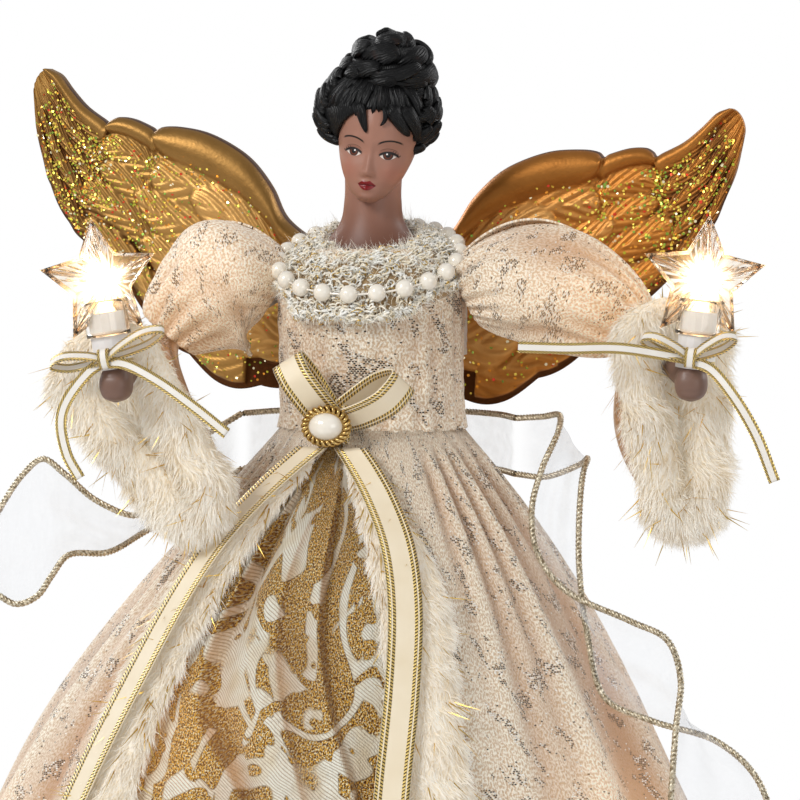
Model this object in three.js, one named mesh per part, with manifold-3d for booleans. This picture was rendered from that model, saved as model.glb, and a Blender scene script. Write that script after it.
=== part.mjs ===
// Lit angel tree topper: a doll on a plastic tree cone, in a brocade gown with fur edging,
// moulded wings, posable wire arms and a star light in each hand.
// Millimetres, +Z up. The figure faces -Y, stands on the floor at z = 0, and left and right are its own.
import * as THREE from "three";
import { mergeVertices } from "three/addons/utils/BufferGeometryUtils.js";
import Module from "manifold-3d";

const wasm = await Module();
wasm.setup();

// General sizes
const CLOTH = 1.2; // wall of a gown piece
const SEAT_GAP = 0.4; // between pieces that rest on each other
const LAYER_GAP = 0.8; // between layers of cloth
const WAIST_Z = 198;
const HEM_RADIUS = 122; // half width of the skirt at the floor
const WAIST_RADIUS = 26; // half width of the skirt at the waist seam
const DEPTH_RATIO = 0.86; // depth of the skirt as a share of its width
const FLARE = 1.9; // how soon the skirt spreads below the waist
const SKIRT_SWAY = 8; // sideways lean of the cloth half way down

// Skirt opening, folds and fur edging
const OPEN_ANGLE = rad(23); // half angle of the front opening
const OPEN_SKEW = rad(9); // turn of the opening at the waist, towards the right hand
const FOLD_COUNT = 12;
const FOLD_DEPTH = 7;
const PANEL_UNDERLAP = rad(5);
const PANEL_PLEATS = 4;
const PANEL_PLEAT_DEPTH = 4;
const FUR_WIDTH = 16;
const FUR_HEIGHT = 7;

// Tree cone
const CONE_BASE_RADIUS = 62;
const CONE_TOP_RADIUS = 17;
const CONE_TOP_Z = 196;
const CONE_WALL = 1.8;
const CONE_RIM_RADIUS = 67;
const CONE_RIM_HEIGHT = 3;

// Lamps under the skirt
const SKIRT_LAMPS = 8;
const LAMP_HOLDER_RADIUS = 3;
const LAMP_HOLDER_LENGTH = 9;
const LAMP_RADIUS = 2.6;
const LAMP_GLASS_LENGTH = 10;
const LAMP_LOW_Z = 62;
const LAMP_RISE = 12; // height from one lamp to the next

// Torso, bust and hair
const TORSO_TOP_Z = 239;
const TORSO_RADIUS = 23;
const TORSO_DEPTH = 18;
const NECK_RADIUS = 7.6;
const CHIN_Z = TORSO_TOP_Z + 20.8;
const HEAD_HEIGHT = 34;
const HEAD_HALF_WIDTH = 10.9;
const HEAD_CENTRE = new THREE.Vector3(0.8, -3, CHIN_Z);
const HEAD_TURN = rad(4); // towards the left hand
const HEAD_NOD = rad(7);
const HEAD_ROLL = rad(7.5);
const HAIR_HALF_WIDTH = 16.2;
const BUN_HALF_WIDTH = 12.6;

// Collar and pearls
const COLLAR_THICKNESS = 6;
const PEARL_RADIUS = 2.4;
const PEARL_COUNT = 23;
const THREAD_RADIUS = 0.5;

// Arms: shoulder, elbow and hand places
const SHOULDER = new THREE.Vector3(TORSO_RADIUS + 0.3, -1, TORSO_TOP_Z - 5);
const WIRE_RADIUS = 1;
const WIRE_SAG = 3;
const PUFF_RISE = 14; // how far the puff's middle line bows above the straight arm
const PUFF_RADIUS = 16.5;
const PUFF_END_RADIUS = 8;
const CUFF_HALF_WIDTH = 11; // half width of the sleeve's mouth round the hand
const CUFF_FOLD_HALF_WIDTH = 7; // and at the foot of the part that hangs folded below it
const CUFF_DROP = 41; // how far the mouth hangs below the wrist
const CUFF_RISE = 11;
const CUFF_FUR_RADIUS = 6;
const HAND_TO_MOUTH = 20;
const ARMS = {
  right: {
    side: -1,
    elbow: new THREE.Vector3(-54, -8, 223),
    hand: new THREE.Vector3(-53.2, -57, 212.4),
    candleTilt: rad(-9),
    starTurn: rad(38),
    cuffLean: rad(35),
    cuffShift: new THREE.Vector3(-4.5, 0, -4.5),
    loops: [[-14, 0.5], [17, 5]],
    tails: [
      [[-5, -7.2, -3], [-13, -8, -12], [-13.5, -8, -22], [-11, -8, -29]],
      [[5, -7.2, -2], [13, -9, -7], [22, -10, -15], [30, -11, -23]],
    ],
  },
  left: {
    side: 1,
    elbow: new THREE.Vector3(70, 2, 225),
    hand: new THREE.Vector3(90.4, -30, 213),
    candleTilt: rad(6),
    starTurn: rad(20),
    cuffLean: rad(6),
    cuffShift: new THREE.Vector3(0, 0, 0),
    loops: [[-12.5, 3.6], [11, 6.5]],
    tails: [
      [[-6, -7.2, 0], [-18, -10, 0.5], [-31, -12, -1], [-43, -13, -2]],
      [[5, -7.2, -2], [12, -9, -8], [19, -10, -17], [25, -11, -28]],
    ],
  },
};

// Candle lights
const CANDLE_RADIUS = 4.7;
const CANDLE_BOTTOM = 4.4; // above the middle of the hand
const CANDLE_TOP = 19;
const LAMP_SEAT_DEPTH = 6;
const STAR_CENTRE = 27; // above the middle of the hand
const STAR_REACH = 16.5;
const STAR_NOTCH = 8.4;
const STAR_THICKNESS = 15;
const STAR_WALL = 1.1;
const STAR_NECK_LENGTH = 6;
const HAND_HALF_WIDTH = 4.4;
const HAND_HEIGHT = 11;

// Ribbons, brooch and shawl
const WAIST_RIBBON = 9;
const CANDLE_RIBBON = 4;
const RIBBON_THICKNESS = 0.6;
const BROOCH_PLACE = new THREE.Vector3(-4.8, -23.2, 201);
const BROOCH_HALF_WIDTH = 6.6;
const BROOCH_HALF_HEIGHT = 5.4;
const ROPE_RADIUS = 1.1;
const ROPE_TWISTS = 10;
const SHAWL_TOP = 201;
const SHAWL_FOOT = 186;
const SHAWL_THICKNESS = 0.5;
const SHAWL_CORD_RADIUS = 1.1;

// Wings
const WING_BACK_Y = 25; // front face of the wing roots
const WING_SWEEP = 6; // how far the tips lie behind the roots
const WING_EDGE = 3.2; // thickness of the feathers' ends
const WING_ROLL_THICKNESS = 5; // extra thickness of the rounded leading edge
const WING_RIDGE = 1.3; // height of the feather ridges
const WING_FEATHERS = 6;
const WING_PIVOT = new THREE.Vector2(10, TORSO_TOP_Z - 3);
const WING_TILT = { right: rad(3.8), left: rad(-3.8) };
const WING_SPREAD = { right: 6, left: -6 }; // how far each wing is pushed out past its root
const WING_SHIFT = -3; // the pair sits a little towards the right hand
const SCREW_RADIUS = 1.5;

function rad(degrees) {
  return (degrees * Math.PI) / 180;
}

const at = (x, y, z) => new THREE.Vector3(x, y, z);
const lerp = THREE.MathUtils.lerp;
const smoothstep = THREE.MathUtils.smoothstep;
const count = (n) => Array.from({ length: n }, (_, i) => i);
const shares = (n) => count(n).map((i) => i / (n - 1));
const angles = (n) => count(n).map((i) => (2 * Math.PI * i) / n);

// Solid modelling: every piece is a closed list of points and triangles.

function closedGeometry(points, triangles) {
  const volume = triangles.reduce(
    (sum, [a, b, c]) => sum + points[a].dot(points[b].clone().cross(points[c])),
    0,
  );
  const facing = volume < 0 ? triangles.map(([a, b, c]) => [a, c, b]) : triangles;
  return new THREE.BufferGeometry()
    .setAttribute("position", new THREE.Float32BufferAttribute(points.flatMap((p) => p.toArray()), 3))
    .setIndex(facing.flat());
}

// Triangles between neighbouring rows of a grid, with the columns closed into rings.
function ringTriangles(rows, columns, closedRows) {
  const triangles = [];
  for (let i = 0; i < (closedRows ? rows : rows - 1); i++)
    for (let j = 0; j < columns; j++) {
      const next = (j + 1) % columns;
      const above = ((i + 1) % rows) * columns;
      const [a, b, c, d] = [i * columns + j, i * columns + next, above + next, above + j];
      triangles.push([a, b, c], [a, c, d]);
    }
  return triangles;
}

// A solid through rings of points, capped at both ends.
function loft(rings) {
  const sides = rings[0].length;
  const last = (rings.length - 1) * sides;
  const middle = (ring) => ring.reduce((sum, p) => sum.add(p), at(0, 0, 0)).divideScalar(sides);
  const points = [...rings.flat(), middle(rings[0]), middle(rings.at(-1))];
  const triangles = ringTriangles(rings.length, sides, false);
  for (let j = 0; j < sides; j++) {
    const next = (j + 1) % sides;
    triangles.push([points.length - 2, next, j], [points.length - 1, last + j, last + next]);
  }
  return closedGeometry(points, triangles);
}

// A ring-shaped solid: sections carried round a closed path.
const loop = (sections) =>
  closedGeometry(sections.flat(), ringTriangles(sections.length, sections[0].length, true));

// A tube with a wall, open at both ends.
const shell = (outer, inner) => loop([...outer, ...inner.toReversed()]);

// A slab between two open grids of points.
function sheet(front, back) {
  const columns = front[0].length;
  const rings = front.map((row, i) => [...row, ...back[i].toReversed()]);
  const last = (rings.length - 1) * 2 * columns;
  const triangles = ringTriangles(rings.length, 2 * columns, false);
  for (let j = 0; j < columns - 1; j++) {
    const [a, b, c, d] = [j, j + 1, 2 * columns - 2 - j, 2 * columns - 1 - j];
    triangles.push([b, a, d], [b, d, c]);
    triangles.push([last + a, last + b, last + c], [last + a, last + c, last + d]);
  }
  return closedGeometry(rings.flat(), triangles);
}

// A strip of the given width and thickness along a curve; across(share) is its width direction.
function strip(curve, across, width, thickness, steps) {
  const faces = [1, -1].map((face) =>
    shares(steps + 1).map((s) => {
      const side = across(s).clone().normalize();
      const normal = curve.getTangentAt(s).cross(side).normalize();
      return [-0.5, 0.5].map((k) =>
        curve.getPointAt(s).addScaledVector(side, k * width).addScaledVector(normal, (face * thickness) / 2),
      );
    }),
  );
  return sheet(faces[0], faces[1]);
}

function polygon(radius, sides) {
  return new THREE.Shape(angles(sides).map((a) => new THREE.Vector2(radius * Math.cos(a), radius * Math.sin(a))));
}

function tube(curve, radius, steps, sides) {
  return new THREE.ExtrudeGeometry(polygon(radius, sides), { steps, bevelEnabled: false, extrudePath: curve });
}

const curveThrough = (points, closed = false) => new THREE.CatmullRomCurve3(points, closed, "centripetal");

// A solid of revolution about Z; the profile is a list of [radius, height] from the axis back to the axis.
function revolve(profile, segments) {
  const rings = profile.slice(1, -1).map(([r, z]) => angles(segments).map((a) => at(r * Math.cos(a), r * Math.sin(a), z)));
  const start = profile[0][1];
  const end = profile.at(-1)[1];
  const points = [...rings.flat(), at(0, 0, start), at(0, 0, end)];
  const last = (rings.length - 1) * segments;
  const triangles = ringTriangles(rings.length, segments, false);
  for (let j = 0; j < segments; j++) {
    const next = (j + 1) % segments;
    triangles.push([points.length - 2, next, j], [points.length - 1, last + j, last + next]);
  }
  return closedGeometry(points, triangles);
}

function ball(centre, [rx, ry, rz], across, down) {
  return new THREE.SphereGeometry(1, across, down).scale(rx, ry, rz).translate(centre.x, centre.y, centre.z);
}

// Side and up directions square to a direction, turned about it by a lean.
function crossAxes(direction, lean = 0) {
  const side = direction.clone().cross(at(0, 0, 1)).normalize();
  const up = side.clone().cross(direction).normalize();
  return {
    side: side.clone().multiplyScalar(Math.cos(lean)).addScaledVector(up, -Math.sin(lean)),
    up: up.clone().multiplyScalar(Math.cos(lean)).addScaledVector(side, Math.sin(lean)),
  };
}

// Boolean joins and cuts.

function solid(geometry) {
  const plain = geometry.clone();
  plain.deleteAttribute("normal");
  plain.deleteAttribute("uv");
  const merged = mergeVertices(plain, 1e-4);
  const corners = Array.from(merged.index.array);
  const kept = count(corners.length / 3)
    .map((i) => corners.slice(3 * i, 3 * i + 3))
    .filter(([a, b, c]) => a !== b && b !== c && a !== c);
  return new wasm.Manifold(
    new wasm.Mesh({
      numProp: 3,
      vertProperties: merged.attributes.position.array,
      triVerts: new Uint32Array(kept.flat()),
    }),
  );
}

function geometryOf(made) {
  const mesh = made.getMesh();
  return new THREE.BufferGeometry()
    .setAttribute("position", new THREE.BufferAttribute(mesh.vertProperties.slice(), 3))
    .setIndex(Array.from(mesh.triVerts));
}

const join = (...geometries) => geometryOf(geometries.map(solid).reduce((a, b) => a.add(b)));
const cut = (geometry, ...cutters) =>
  geometryOf(cutters.map(solid).reduce((left, cutter) => left.subtract(cutter), solid(geometry)));

// The outermost skin of a solid: closed pockets left between joined ribbons are filled.
function filled(geometry) {
  const corners = Array.from(geometry.index.array);
  const owner = count(geometry.attributes.position.count);
  const root = (v) => (owner[v] === v ? v : (owner[v] = root(owner[v])));
  const triangles = count(corners.length / 3).map((i) => corners.slice(3 * i, 3 * i + 3));
  triangles.forEach(([a, b, c]) => {
    owner[root(b)] = root(a);
    owner[root(c)] = root(a);
  });
  const skins = Object.values(Object.groupBy(triangles, ([a]) => root(a)));
  const outermost = skins.reduce((best, skin) => (skin.length > best.length ? skin : best));
  return geometry.clone().setIndex(outermost.flat());
}

// Materials and the scene graph.

const finish = (color, roughness, metalness = 0, more = {}) =>
  new THREE.MeshStandardMaterial({ color, roughness, metalness, ...more });
const FINISH = {
  cone: finish(0xf2f0ea, 0.5),
  skin: finish(0x8f5f48, 0.4),
  hair: finish(0x17130f, 0.35),
  brocade: finish(0xead8c6, 0.75),
  jacquard: finish(0xc79b4e, 0.45, 0.3),
  fur: finish(0xf1e8d4, 0.95),
  boucle: finish(0xefe6d2, 0.95),
  pearl: finish(0xf4ecdc, 0.2, 0.1),
  ribbon: finish(0xefe0b0, 0.4),
  gold: finish(0xc9a04a, 0.3, 0.9),
  wing: finish(0x9a6a2a, 0.35, 0.7),
  steel: finish(0xa8a8a8, 0.35, 0.9),
  candle: finish(0xf4f1ec, 0.4),
  clear: finish(0xfff3d8, 0.05, 0, { transparent: true, opacity: 0.4 }),
  glass: finish(0xffd27a, 0.1, 0, { transparent: true, opacity: 0.6 }),
  organza: finish(0xf6f2ee, 0.5, 0, { transparent: true, opacity: 0.3 }),
  cord: finish(0xb9a67c, 0.4, 0.5),
};

const angel = new THREE.Group();

function piece(name, geometry, material, parent = angel) {
  const mesh = new THREE.Mesh(geometry, material);
  mesh.name = name;
  parent.add(mesh);
  return mesh;
}

// Tree cone: a thin plastic cone, open below, on a flat rim.

const coneRadius = (z) => lerp(CONE_BASE_RADIUS, CONE_TOP_RADIUS, z / CONE_TOP_Z);

function treeCone() {
  const ring = (radius, z) => angles(24).map((a) => at(radius * Math.cos(a), radius * Math.sin(a), z));
  const outside = revolve(
    [
      [0, 0],
      [CONE_RIM_RADIUS, 0],
      [CONE_RIM_RADIUS, CONE_RIM_HEIGHT],
      [coneRadius(CONE_RIM_HEIGHT), CONE_RIM_HEIGHT],
      [CONE_TOP_RADIUS, CONE_TOP_Z],
      [0, CONE_TOP_Z],
    ],
    24,
  );
  const roof = CONE_TOP_Z - CONE_WALL;
  const inside = loft([
    ring(coneRadius(-1) - CONE_WALL, -1),
    ring(coneRadius(roof) - CONE_WALL, roof),
  ]);
  const cordNotch = new THREE.BoxGeometry(8, 20, 2 * CONE_RIM_HEIGHT).translate(0, CONE_RIM_RADIUS, 0);
  return cut(outside, inside, cordNotch);
}
piece("tree_cone", treeCone(), FINISH.cone);

// Lamps of the light set, standing out from the cone inside the skirt.

const lampAngle = (k) => rad(22.5) + (k * 3 * 2 * Math.PI) / SKIRT_LAMPS;
const lampZ = (k) => LAMP_LOW_Z + k * LAMP_RISE;

function skirtLamp() {
  const glassStart = LAMP_HOLDER_LENGTH;
  const tip = glassStart + LAMP_GLASS_LENGTH;
  return revolve(
    [
      [0, 0],
      [LAMP_HOLDER_RADIUS, 0],
      [LAMP_HOLDER_RADIUS, glassStart],
      [LAMP_RADIUS - 0.4, glassStart],
      [LAMP_RADIUS - 0.4, tip - 4],
      [0, tip],
    ],
    6,
  );
}
count(SKIRT_LAMPS).forEach((k) => {
  const spot = new THREE.Group();
  const reach = coneRadius(lampZ(k) - LAMP_HOLDER_RADIUS) + SEAT_GAP;
  spot.position.set(reach * Math.sin(lampAngle(k)), -reach * Math.cos(lampAngle(k)), lampZ(k));
  spot.rotation.z = lampAngle(k);
  const lamp = piece(`skirt_lamp_${k + 1}`, skirtLamp(), FINISH.glass, spot);
  lamp.rotation.x = Math.PI / 2;
  angel.add(spot);
});

// Torso form, and the bust cast in one with head, neck and shoulder plate.

const oval = (rx, ry, z, sides, centre = at(0, 0, 0)) =>
  angles(sides).map((a) => at(centre.x + rx * Math.sin(a), centre.y - ry * Math.cos(a), z));

const torsoSections = [
  [CONE_TOP_Z + SEAT_GAP, 0.98, 0.97],
  [TORSO_TOP_Z - 24, 0.99, 1.0],
  [TORSO_TOP_Z - 11, 1.0, 1.07],
  [TORSO_TOP_Z - 3, 0.98, 0.94],
  [TORSO_TOP_Z, 0.9, 0.84],
];

function torsoForm() {
  return loft(torsoSections.map(([z, kx, ky]) => oval(TORSO_RADIUS * kx, TORSO_DEPTH * ky, z, 18)));
}
piece("torso_form", torsoForm(), FINISH.cone);

// Sections of the shoulder plate and neck: height, half width, half depth.
const neckSections = [
  [TORSO_TOP_Z + SEAT_GAP, 20.4, 14.6],
  [TORSO_TOP_Z + 3, 18.4, 13.2],
  [TORSO_TOP_Z + 6, 15.4, 12],
  [TORSO_TOP_Z + 9.5, 12, 10.2],
  [TORSO_TOP_Z + 14, 8.7, 8.6],
  [TORSO_TOP_Z + 20, NECK_RADIUS, NECK_RADIUS],
  [CHIN_Z + 9, NECK_RADIUS, NECK_RADIUS],
];

function neck(grow) {
  return loft(
    neckSections.map(([z, rx, ry], i) => {
      const lean = Math.max(0, i - 2) / (neckSections.length - 3);
      return oval(rx + grow, ry + grow, i ? z : z - grow, 16, at(HEAD_CENTRE.x * lean, HEAD_CENTRE.y * lean * 0.4, 0));
    }),
  );
}

// Sections of the head as shares of its height and half width: height, width, front depth, back depth.
const headSections = [
  [0.0, 0.26, 0.92, -0.35],
  [0.05, 0.46, 1.03, 0.05],
  [0.14, 0.64, 1.04, 0.35],
  [0.27, 0.82, 1.05, 0.68],
  [0.38, 0.92, 1.0, 0.92],
  [0.5, 0.98, 1.07, 1.08],
  [0.63, 1.0, 1.05, 1.14],
  [0.78, 0.9, 0.84, 1.0],
  [0.9, 0.64, 0.55, 0.68],
  [1.0, 0.18, 0.15, 0.2],
];

const headPose = new THREE.Matrix4()
  .makeRotationFromEuler(new THREE.Euler(HEAD_NOD, HEAD_ROLL, HEAD_TURN, "ZYX"))
  .setPosition(HEAD_CENTRE);

// The head in its own frame: chin at the origin, face towards -Y.
function skull(grow) {
  return loft(
    headSections.map(([h, w, f, b], i) => {
      const end = (i === 0 ? -grow : 0) + (i === headSections.length - 1 ? grow : 0);
      return angles(18).map((a) => {
        const depth = Math.cos(a) > 0 ? f : b;
        return at(
          (HEAD_HALF_WIDTH * w + grow) * Math.sin(a),
          -(HEAD_HALF_WIDTH * depth + grow) * Math.cos(a),
          HEAD_HEIGHT * h + end,
        );
      });
    }),
  );
}

function nose() {
  const front = HEAD_HALF_WIDTH;
  const ring = (w, y, z) => [at(-w, y, z), at(0, y - w * 1.5, z), at(w, y, z), at(0, y + 3, z)];
  return loft([ring(0.8, -front + 0.4, 14), ring(1.0, -front - 0.1, 11.5), ring(1.5, -front - 0.5, 9.6), ring(0.9, -front, 8.8)]);
}

function lips() {
  return join(
    ball(at(0, -HEAD_HALF_WIDTH * 1.02, 5.6), [2.3, 1.0, 0.6], 8, 4),
    ball(at(0, -HEAD_HALF_WIDTH * 1.0, 4.6), [1.8, 1.1, 0.7], 8, 4),
  );
}

piece(
  "head_and_shoulders",
  join(neck(0), join(skull(0), nose(), lips()).applyMatrix4(headPose)),
  FINISH.skin,
);

// Hair: a moulded updo, rolled back from the face in curls, with a bun on top.
function hair() {
  const curl = (height, angle) => 1 + 0.055 * Math.cos(7 * angle + 9 * height) + 0.03 * Math.cos(14 * height);
  const mass = loft(
    shares(8).map((s) => {
      const bulge = Math.sin(Math.PI * lerp(0.2, 0.97, s)) ** 0.7;
      const z = lerp(9.5, 37, s);
      return angles(18).map((a) => {
        const reach = HAIR_HALF_WIDTH * bulge * curl(s * 2.4, a);
        return at(reach * Math.sin(a) - 1.8, 3 - reach * 0.96 * Math.cos(a), z);
      });
    }),
  );
  const bun = loft(
    shares(7).map((s) => {
      const bulge = Math.sin(Math.PI * lerp(0.16, 0.93, s)) ** 0.6;
      const z = lerp(30, 44.8, s);
      return angles(14).map((a) => {
        const reach = BUN_HALF_WIDTH * bulge * (1 + 0.07 * Math.cos(4 * a + 7 * s));
        return at(reach * Math.sin(a) - 0.7, 3 - reach * 0.9 * Math.cos(a), z);
      });
    }),
  );
  const fringe = ball(at(1.5, -9.4, 22.8), [8.6, 3.4, 3.6], 10, 6);
  const face = ball(at(0, -15, 10), [10.6, 13.5, 14.6], 12, 8);
  return cut(join(cut(join(mass, bun), face), fringe), skull(SEAT_GAP));
}
const hairPiece = piece("hair", hair(), FINISH.hair);
hairPiece.geometry.applyMatrix4(headPose);

// Bodice: brocade wrapped round the torso form and over the shoulders.

// Height, half width and half depth of the bodice's outside.
const bodiceSections = [
  [WAIST_Z + 0.6, 1.0, 0.98],
  [TORSO_TOP_Z - 24, 1.0, 1.01],
  [TORSO_TOP_Z - 11, 1.01, 1.07],
  [TORSO_TOP_Z - 2, 1.0, 0.97],
  [TORSO_TOP_Z + 4, 0.88, 0.85],
  [TORSO_TOP_Z + 7.5, 0.7, 0.72],
];
const BODICE_RADIUS = TORSO_RADIUS + SEAT_GAP + CLOTH;
const BODICE_DEPTH = TORSO_DEPTH + 1.0 + CLOTH;

const bodiceRings = (grow) =>
  bodiceSections.map(([z, kx, ky]) => oval(BODICE_RADIUS * kx + grow, BODICE_DEPTH * ky + grow, z, 22));

function bodice() {
  const wrap = shell(bodiceRings(0), bodiceRings(-CLOTH));
  const armhole = new THREE.CylinderGeometry(3.6, 3.6, 80, 10)
    .rotateZ(Math.PI / 2)
    .translate(0, SHOULDER.y, SHOULDER.z);
  return cut(wrap, armhole);
}
piece("bodice", bodice(), FINISH.brocade);

// Skirt: the gown's bell shape, from which every skirt piece takes its place.

const drop = (z) => (WAIST_Z - z) / WAIST_Z;
const skirtRadius = (z) => lerp(WAIST_RADIUS, HEM_RADIUS, 1 - (1 - drop(z)) ** FLARE);

function skirtPoint(angle, z, offset) {
  const reach = skirtRadius(z) + offset;
  const sway = -SKIRT_SWAY * Math.sin(Math.PI * drop(z)) ** 2;
  return at(sway + reach * Math.sin(angle), -DEPTH_RATIO * reach * Math.cos(angle), z);
}

const openCentre = (z) => -OPEN_SKEW * Math.max(0, 1 - 2 * drop(z));
const openAngle = (z) => OPEN_ANGLE * (1 - (1 - drop(z)) ** 12);
const heights = (rows, top, bottom) => shares(rows).map((s) => lerp(top, bottom, s ** 0.9));

// Folds run down the sides and back and fade out towards the fur edging; they only go inwards.
function foldDepth(angle, z) {
  const fade = smoothstep(Math.abs(angle), rad(38), rad(62));
  const uneven = 0.75 + 0.25 * Math.cos(3 * angle + 0.6);
  const wave = 0.5 - 0.5 * Math.cos(FOLD_COUNT * angle);
  return FOLD_DEPTH * fade * uneven * wave * Math.min(1, 2.2 * drop(z));
}

function overskirt() {
  const columns = 49;
  const surface = (depth) =>
    heights(8, WAIST_Z, 0).map((z) =>
      shares(columns).map((s) => {
        const edge = openAngle(z) + rad(1);
        const angle = openCentre(z) + lerp(edge, 2 * Math.PI - edge, s);
        const turned = angle > Math.PI ? angle - 2 * Math.PI : angle;
        return skirtPoint(angle, z, -foldDepth(turned, z) - depth);
      }),
    );
  return sheet(surface(0), surface(CLOTH));
}
piece("overskirt", overskirt(), FINISH.brocade);

function frontPanel() {
  const under = CLOTH + LAYER_GAP;
  const surface = (depth) =>
    heights(8, WAIST_Z - 2, 0).map((z) =>
      shares(17).map((s) => {
        const half = openAngle(z) + PANEL_UNDERLAP;
        const across = 2 * s - 1;
        const pleat = PANEL_PLEAT_DEPTH * (0.5 - 0.5 * Math.cos(2 * Math.PI * PANEL_PLEATS * s)) * Math.min(1, 3 * drop(z));
        const inside = Math.abs(across) > 0.75 ? 0 : pleat;
        return skirtPoint(openCentre(z) + half * across, z, -under - inside - depth);
      }),
    );
  return sheet(surface(0), surface(CLOTH));
}
piece("front_panel", frontPanel(), FINISH.jacquard);

// Fur edging down both sides of the opening: a domed band sewn on the overskirt, flatter near the waist.
const furHeight = (z) => FUR_HEIGHT * lerp(0.35, 1, smoothstep(WAIST_Z - z, 6, 30));

function furTrim(side) {
  return loft(
    heights(14, WAIST_Z - 6, 1).map((z) => {
      const narrow = lerp(0.45, 1, smoothstep(WAIST_Z - z, 6, 40));
      const half = (narrow * FUR_WIDTH) / 2 / skirtRadius(z);
      const centre = openCentre(z) + side * (openAngle(z) + half);
      return angles(8).map((a) => {
        const lift = LAYER_GAP + furHeight(z) * Math.max(0, Math.sin(a));
        return skirtPoint(centre + half * Math.cos(a), z, lift);
      });
    }),
  );
}
piece("fur_trim_right", furTrim(-1), FINISH.fur);
piece("fur_trim_left", furTrim(1), FINISH.fur);

// Collar: a boucle ring that lies on the shoulders, lower in front.

function collarFrame(angle) {
  const behind = (1 - Math.cos(angle)) / 2;
  const inner = at(13.2 * Math.sin(angle), -13.2 * Math.cos(angle), TORSO_TOP_Z + lerp(6, 13.5, behind));
  const outer = at(27 * Math.sin(angle), -lerp(25.5, 20, behind) * Math.cos(angle), TORSO_TOP_Z + lerp(-10.5, 4.5, behind));
  const along = outer.clone().sub(inner);
  const around = at(Math.cos(angle), Math.sin(angle), 0);
  const normal = around.clone().cross(along).normalize();
  return { inner, outer, along, behind, normal: normal.z < 0 ? normal.negate() : normal };
}

function collarRing(grow) {
  return loop(
    angles(20).map((angle) => {
      const { inner, along, normal } = collarFrame(angle);
      const half = along.length() / 2;
      return angles(6).map((a) =>
        inner
          .clone()
          .addScaledVector(along, 0.5 + 0.5 * (1 + grow / half) * Math.cos(a))
          .addScaledVector(normal, (COLLAR_THICKNESS / 2 + grow) * Math.sin(a)),
      );
    }),
  );
}
piece("collar", cut(collarRing(0), loft(bodiceRings(SEAT_GAP)), neck(SEAT_GAP)), FINISH.boucle);

// Pearls on a thread, as one ring of sections that swell at each pearl.
function threadPoint(angle) {
  const { inner, along, behind, normal } = collarFrame(angle);
  const lift = COLLAR_THICKNESS / 2 + PEARL_RADIUS + SEAT_GAP;
  return inner.clone().addScaledVector(along, lerp(0.76, 0.36, behind)).addScaledVector(normal, lift);
}

// One section square to the thread, of the given radius, moved along it from a pearl's middle.
function threadSection(angle, along, radius, sides) {
  const ahead = threadPoint(angle + 0.01).sub(threadPoint(angle - 0.01)).normalize();
  const { side, up } = crossAxes(ahead);
  return angles(sides).map((a) =>
    threadPoint(angle)
      .addScaledVector(ahead, along)
      .addScaledVector(side, radius * Math.sin(a))
      .addScaledVector(up, radius * Math.cos(a)),
  );
}

function pearlString() {
  const swell = [
    [-0.98, THREAD_RADIUS],
    [-0.5, 0.87 * PEARL_RADIUS],
    [0.5, 0.87 * PEARL_RADIUS],
    [0.98, THREAD_RADIUS],
  ];
  return loop(
    angles(PEARL_COUNT).flatMap((angle) =>
      swell.map(([along, radius]) => threadSection(angle, along * PEARL_RADIUS, radius, 5)),
    ),
  );
}
const pearlChannel = () => loop(angles(PEARL_COUNT).map((a) => threadSection(a, 0, PEARL_RADIUS + SEAT_GAP, 6)));
piece("pearl_string", pearlString(), FINISH.pearl);

// Waist ribbon: a bow of two loops behind the brooch and two long tails.

// A ribbon loop that leaves a knot along a direction, swells and comes back to it.
function ribbonLoop(knot, direction, facing, width, swell, steps) {
  const across = direction.clone().cross(facing).normalize();
  const path = [
    [0.02, 0],
    [0.35, 0.8],
    [0.75, 1],
    [1, 0],
    [0.75, -0.8],
    [0.35, -0.6],
    [0.02, -0.08],
  ].map(([along, out]) =>
    knot.clone().addScaledVector(direction, along).addScaledVector(facing, out * swell),
  );
  return strip(curveThrough(path), () => across, width, RIBBON_THICKNESS, steps);
}

const BOW_KNOT = BROOCH_PLACE.clone().add(at(0, -1.2, 0));

function waistBow() {
  const facing = at(0, -1, 0);
  const knot = ball(BOW_KNOT, [6, 1.6, 5], 10, 6);
  return filled(
    join(
      knot,
      ribbonLoop(BOW_KNOT, at(-11, -4, 17), facing, WAIST_RIBBON, 3.6, 12),
      ribbonLoop(BOW_KNOT, at(19, -4, 9), facing, WAIST_RIBBON, 3.6, 12),
    ),
  );
}
piece("waist_bow", waistBow(), FINISH.ribbon);

// A tail hangs in front of the fur, through a list of [degrees round the skirt, height].
function bowTail(route) {
  const curve = curveThrough(
    route.map(([degrees, z]) => skirtPoint(rad(degrees), z, LAYER_GAP + furHeight(z) + 1.2)),
  );
  const across = (s) => {
    const p = curve.getPointAt(s);
    return at(-p.y, p.x * DEPTH_RATIO, 0);
  };
  return strip(curve, across, WAIST_RIBBON, RIBBON_THICKNESS, 18);
}
piece(
  "bow_tail_right",
  bowTail([[-17, 195.2], [-24, 190], [-29, 183], [-31.5, 172], [-32, 158], [-31, 138], [-31, 116], [-32, 94], [-33, 70]]),
  FINISH.ribbon,
);
piece(
  "bow_tail_left",
  bowTail([[2, 195.2], [9, 190], [15, 183], [19.5, 172], [21, 158], [20.5, 138], [19, 116], [17.5, 94], [16, 64]]),
  FINISH.ribbon,
);

// Brooch: a rope-edged oval setting that holds a half pearl.
const BROOCH_FRONT = BOW_KNOT.y - 1.6 - SEAT_GAP - 4.6;

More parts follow.
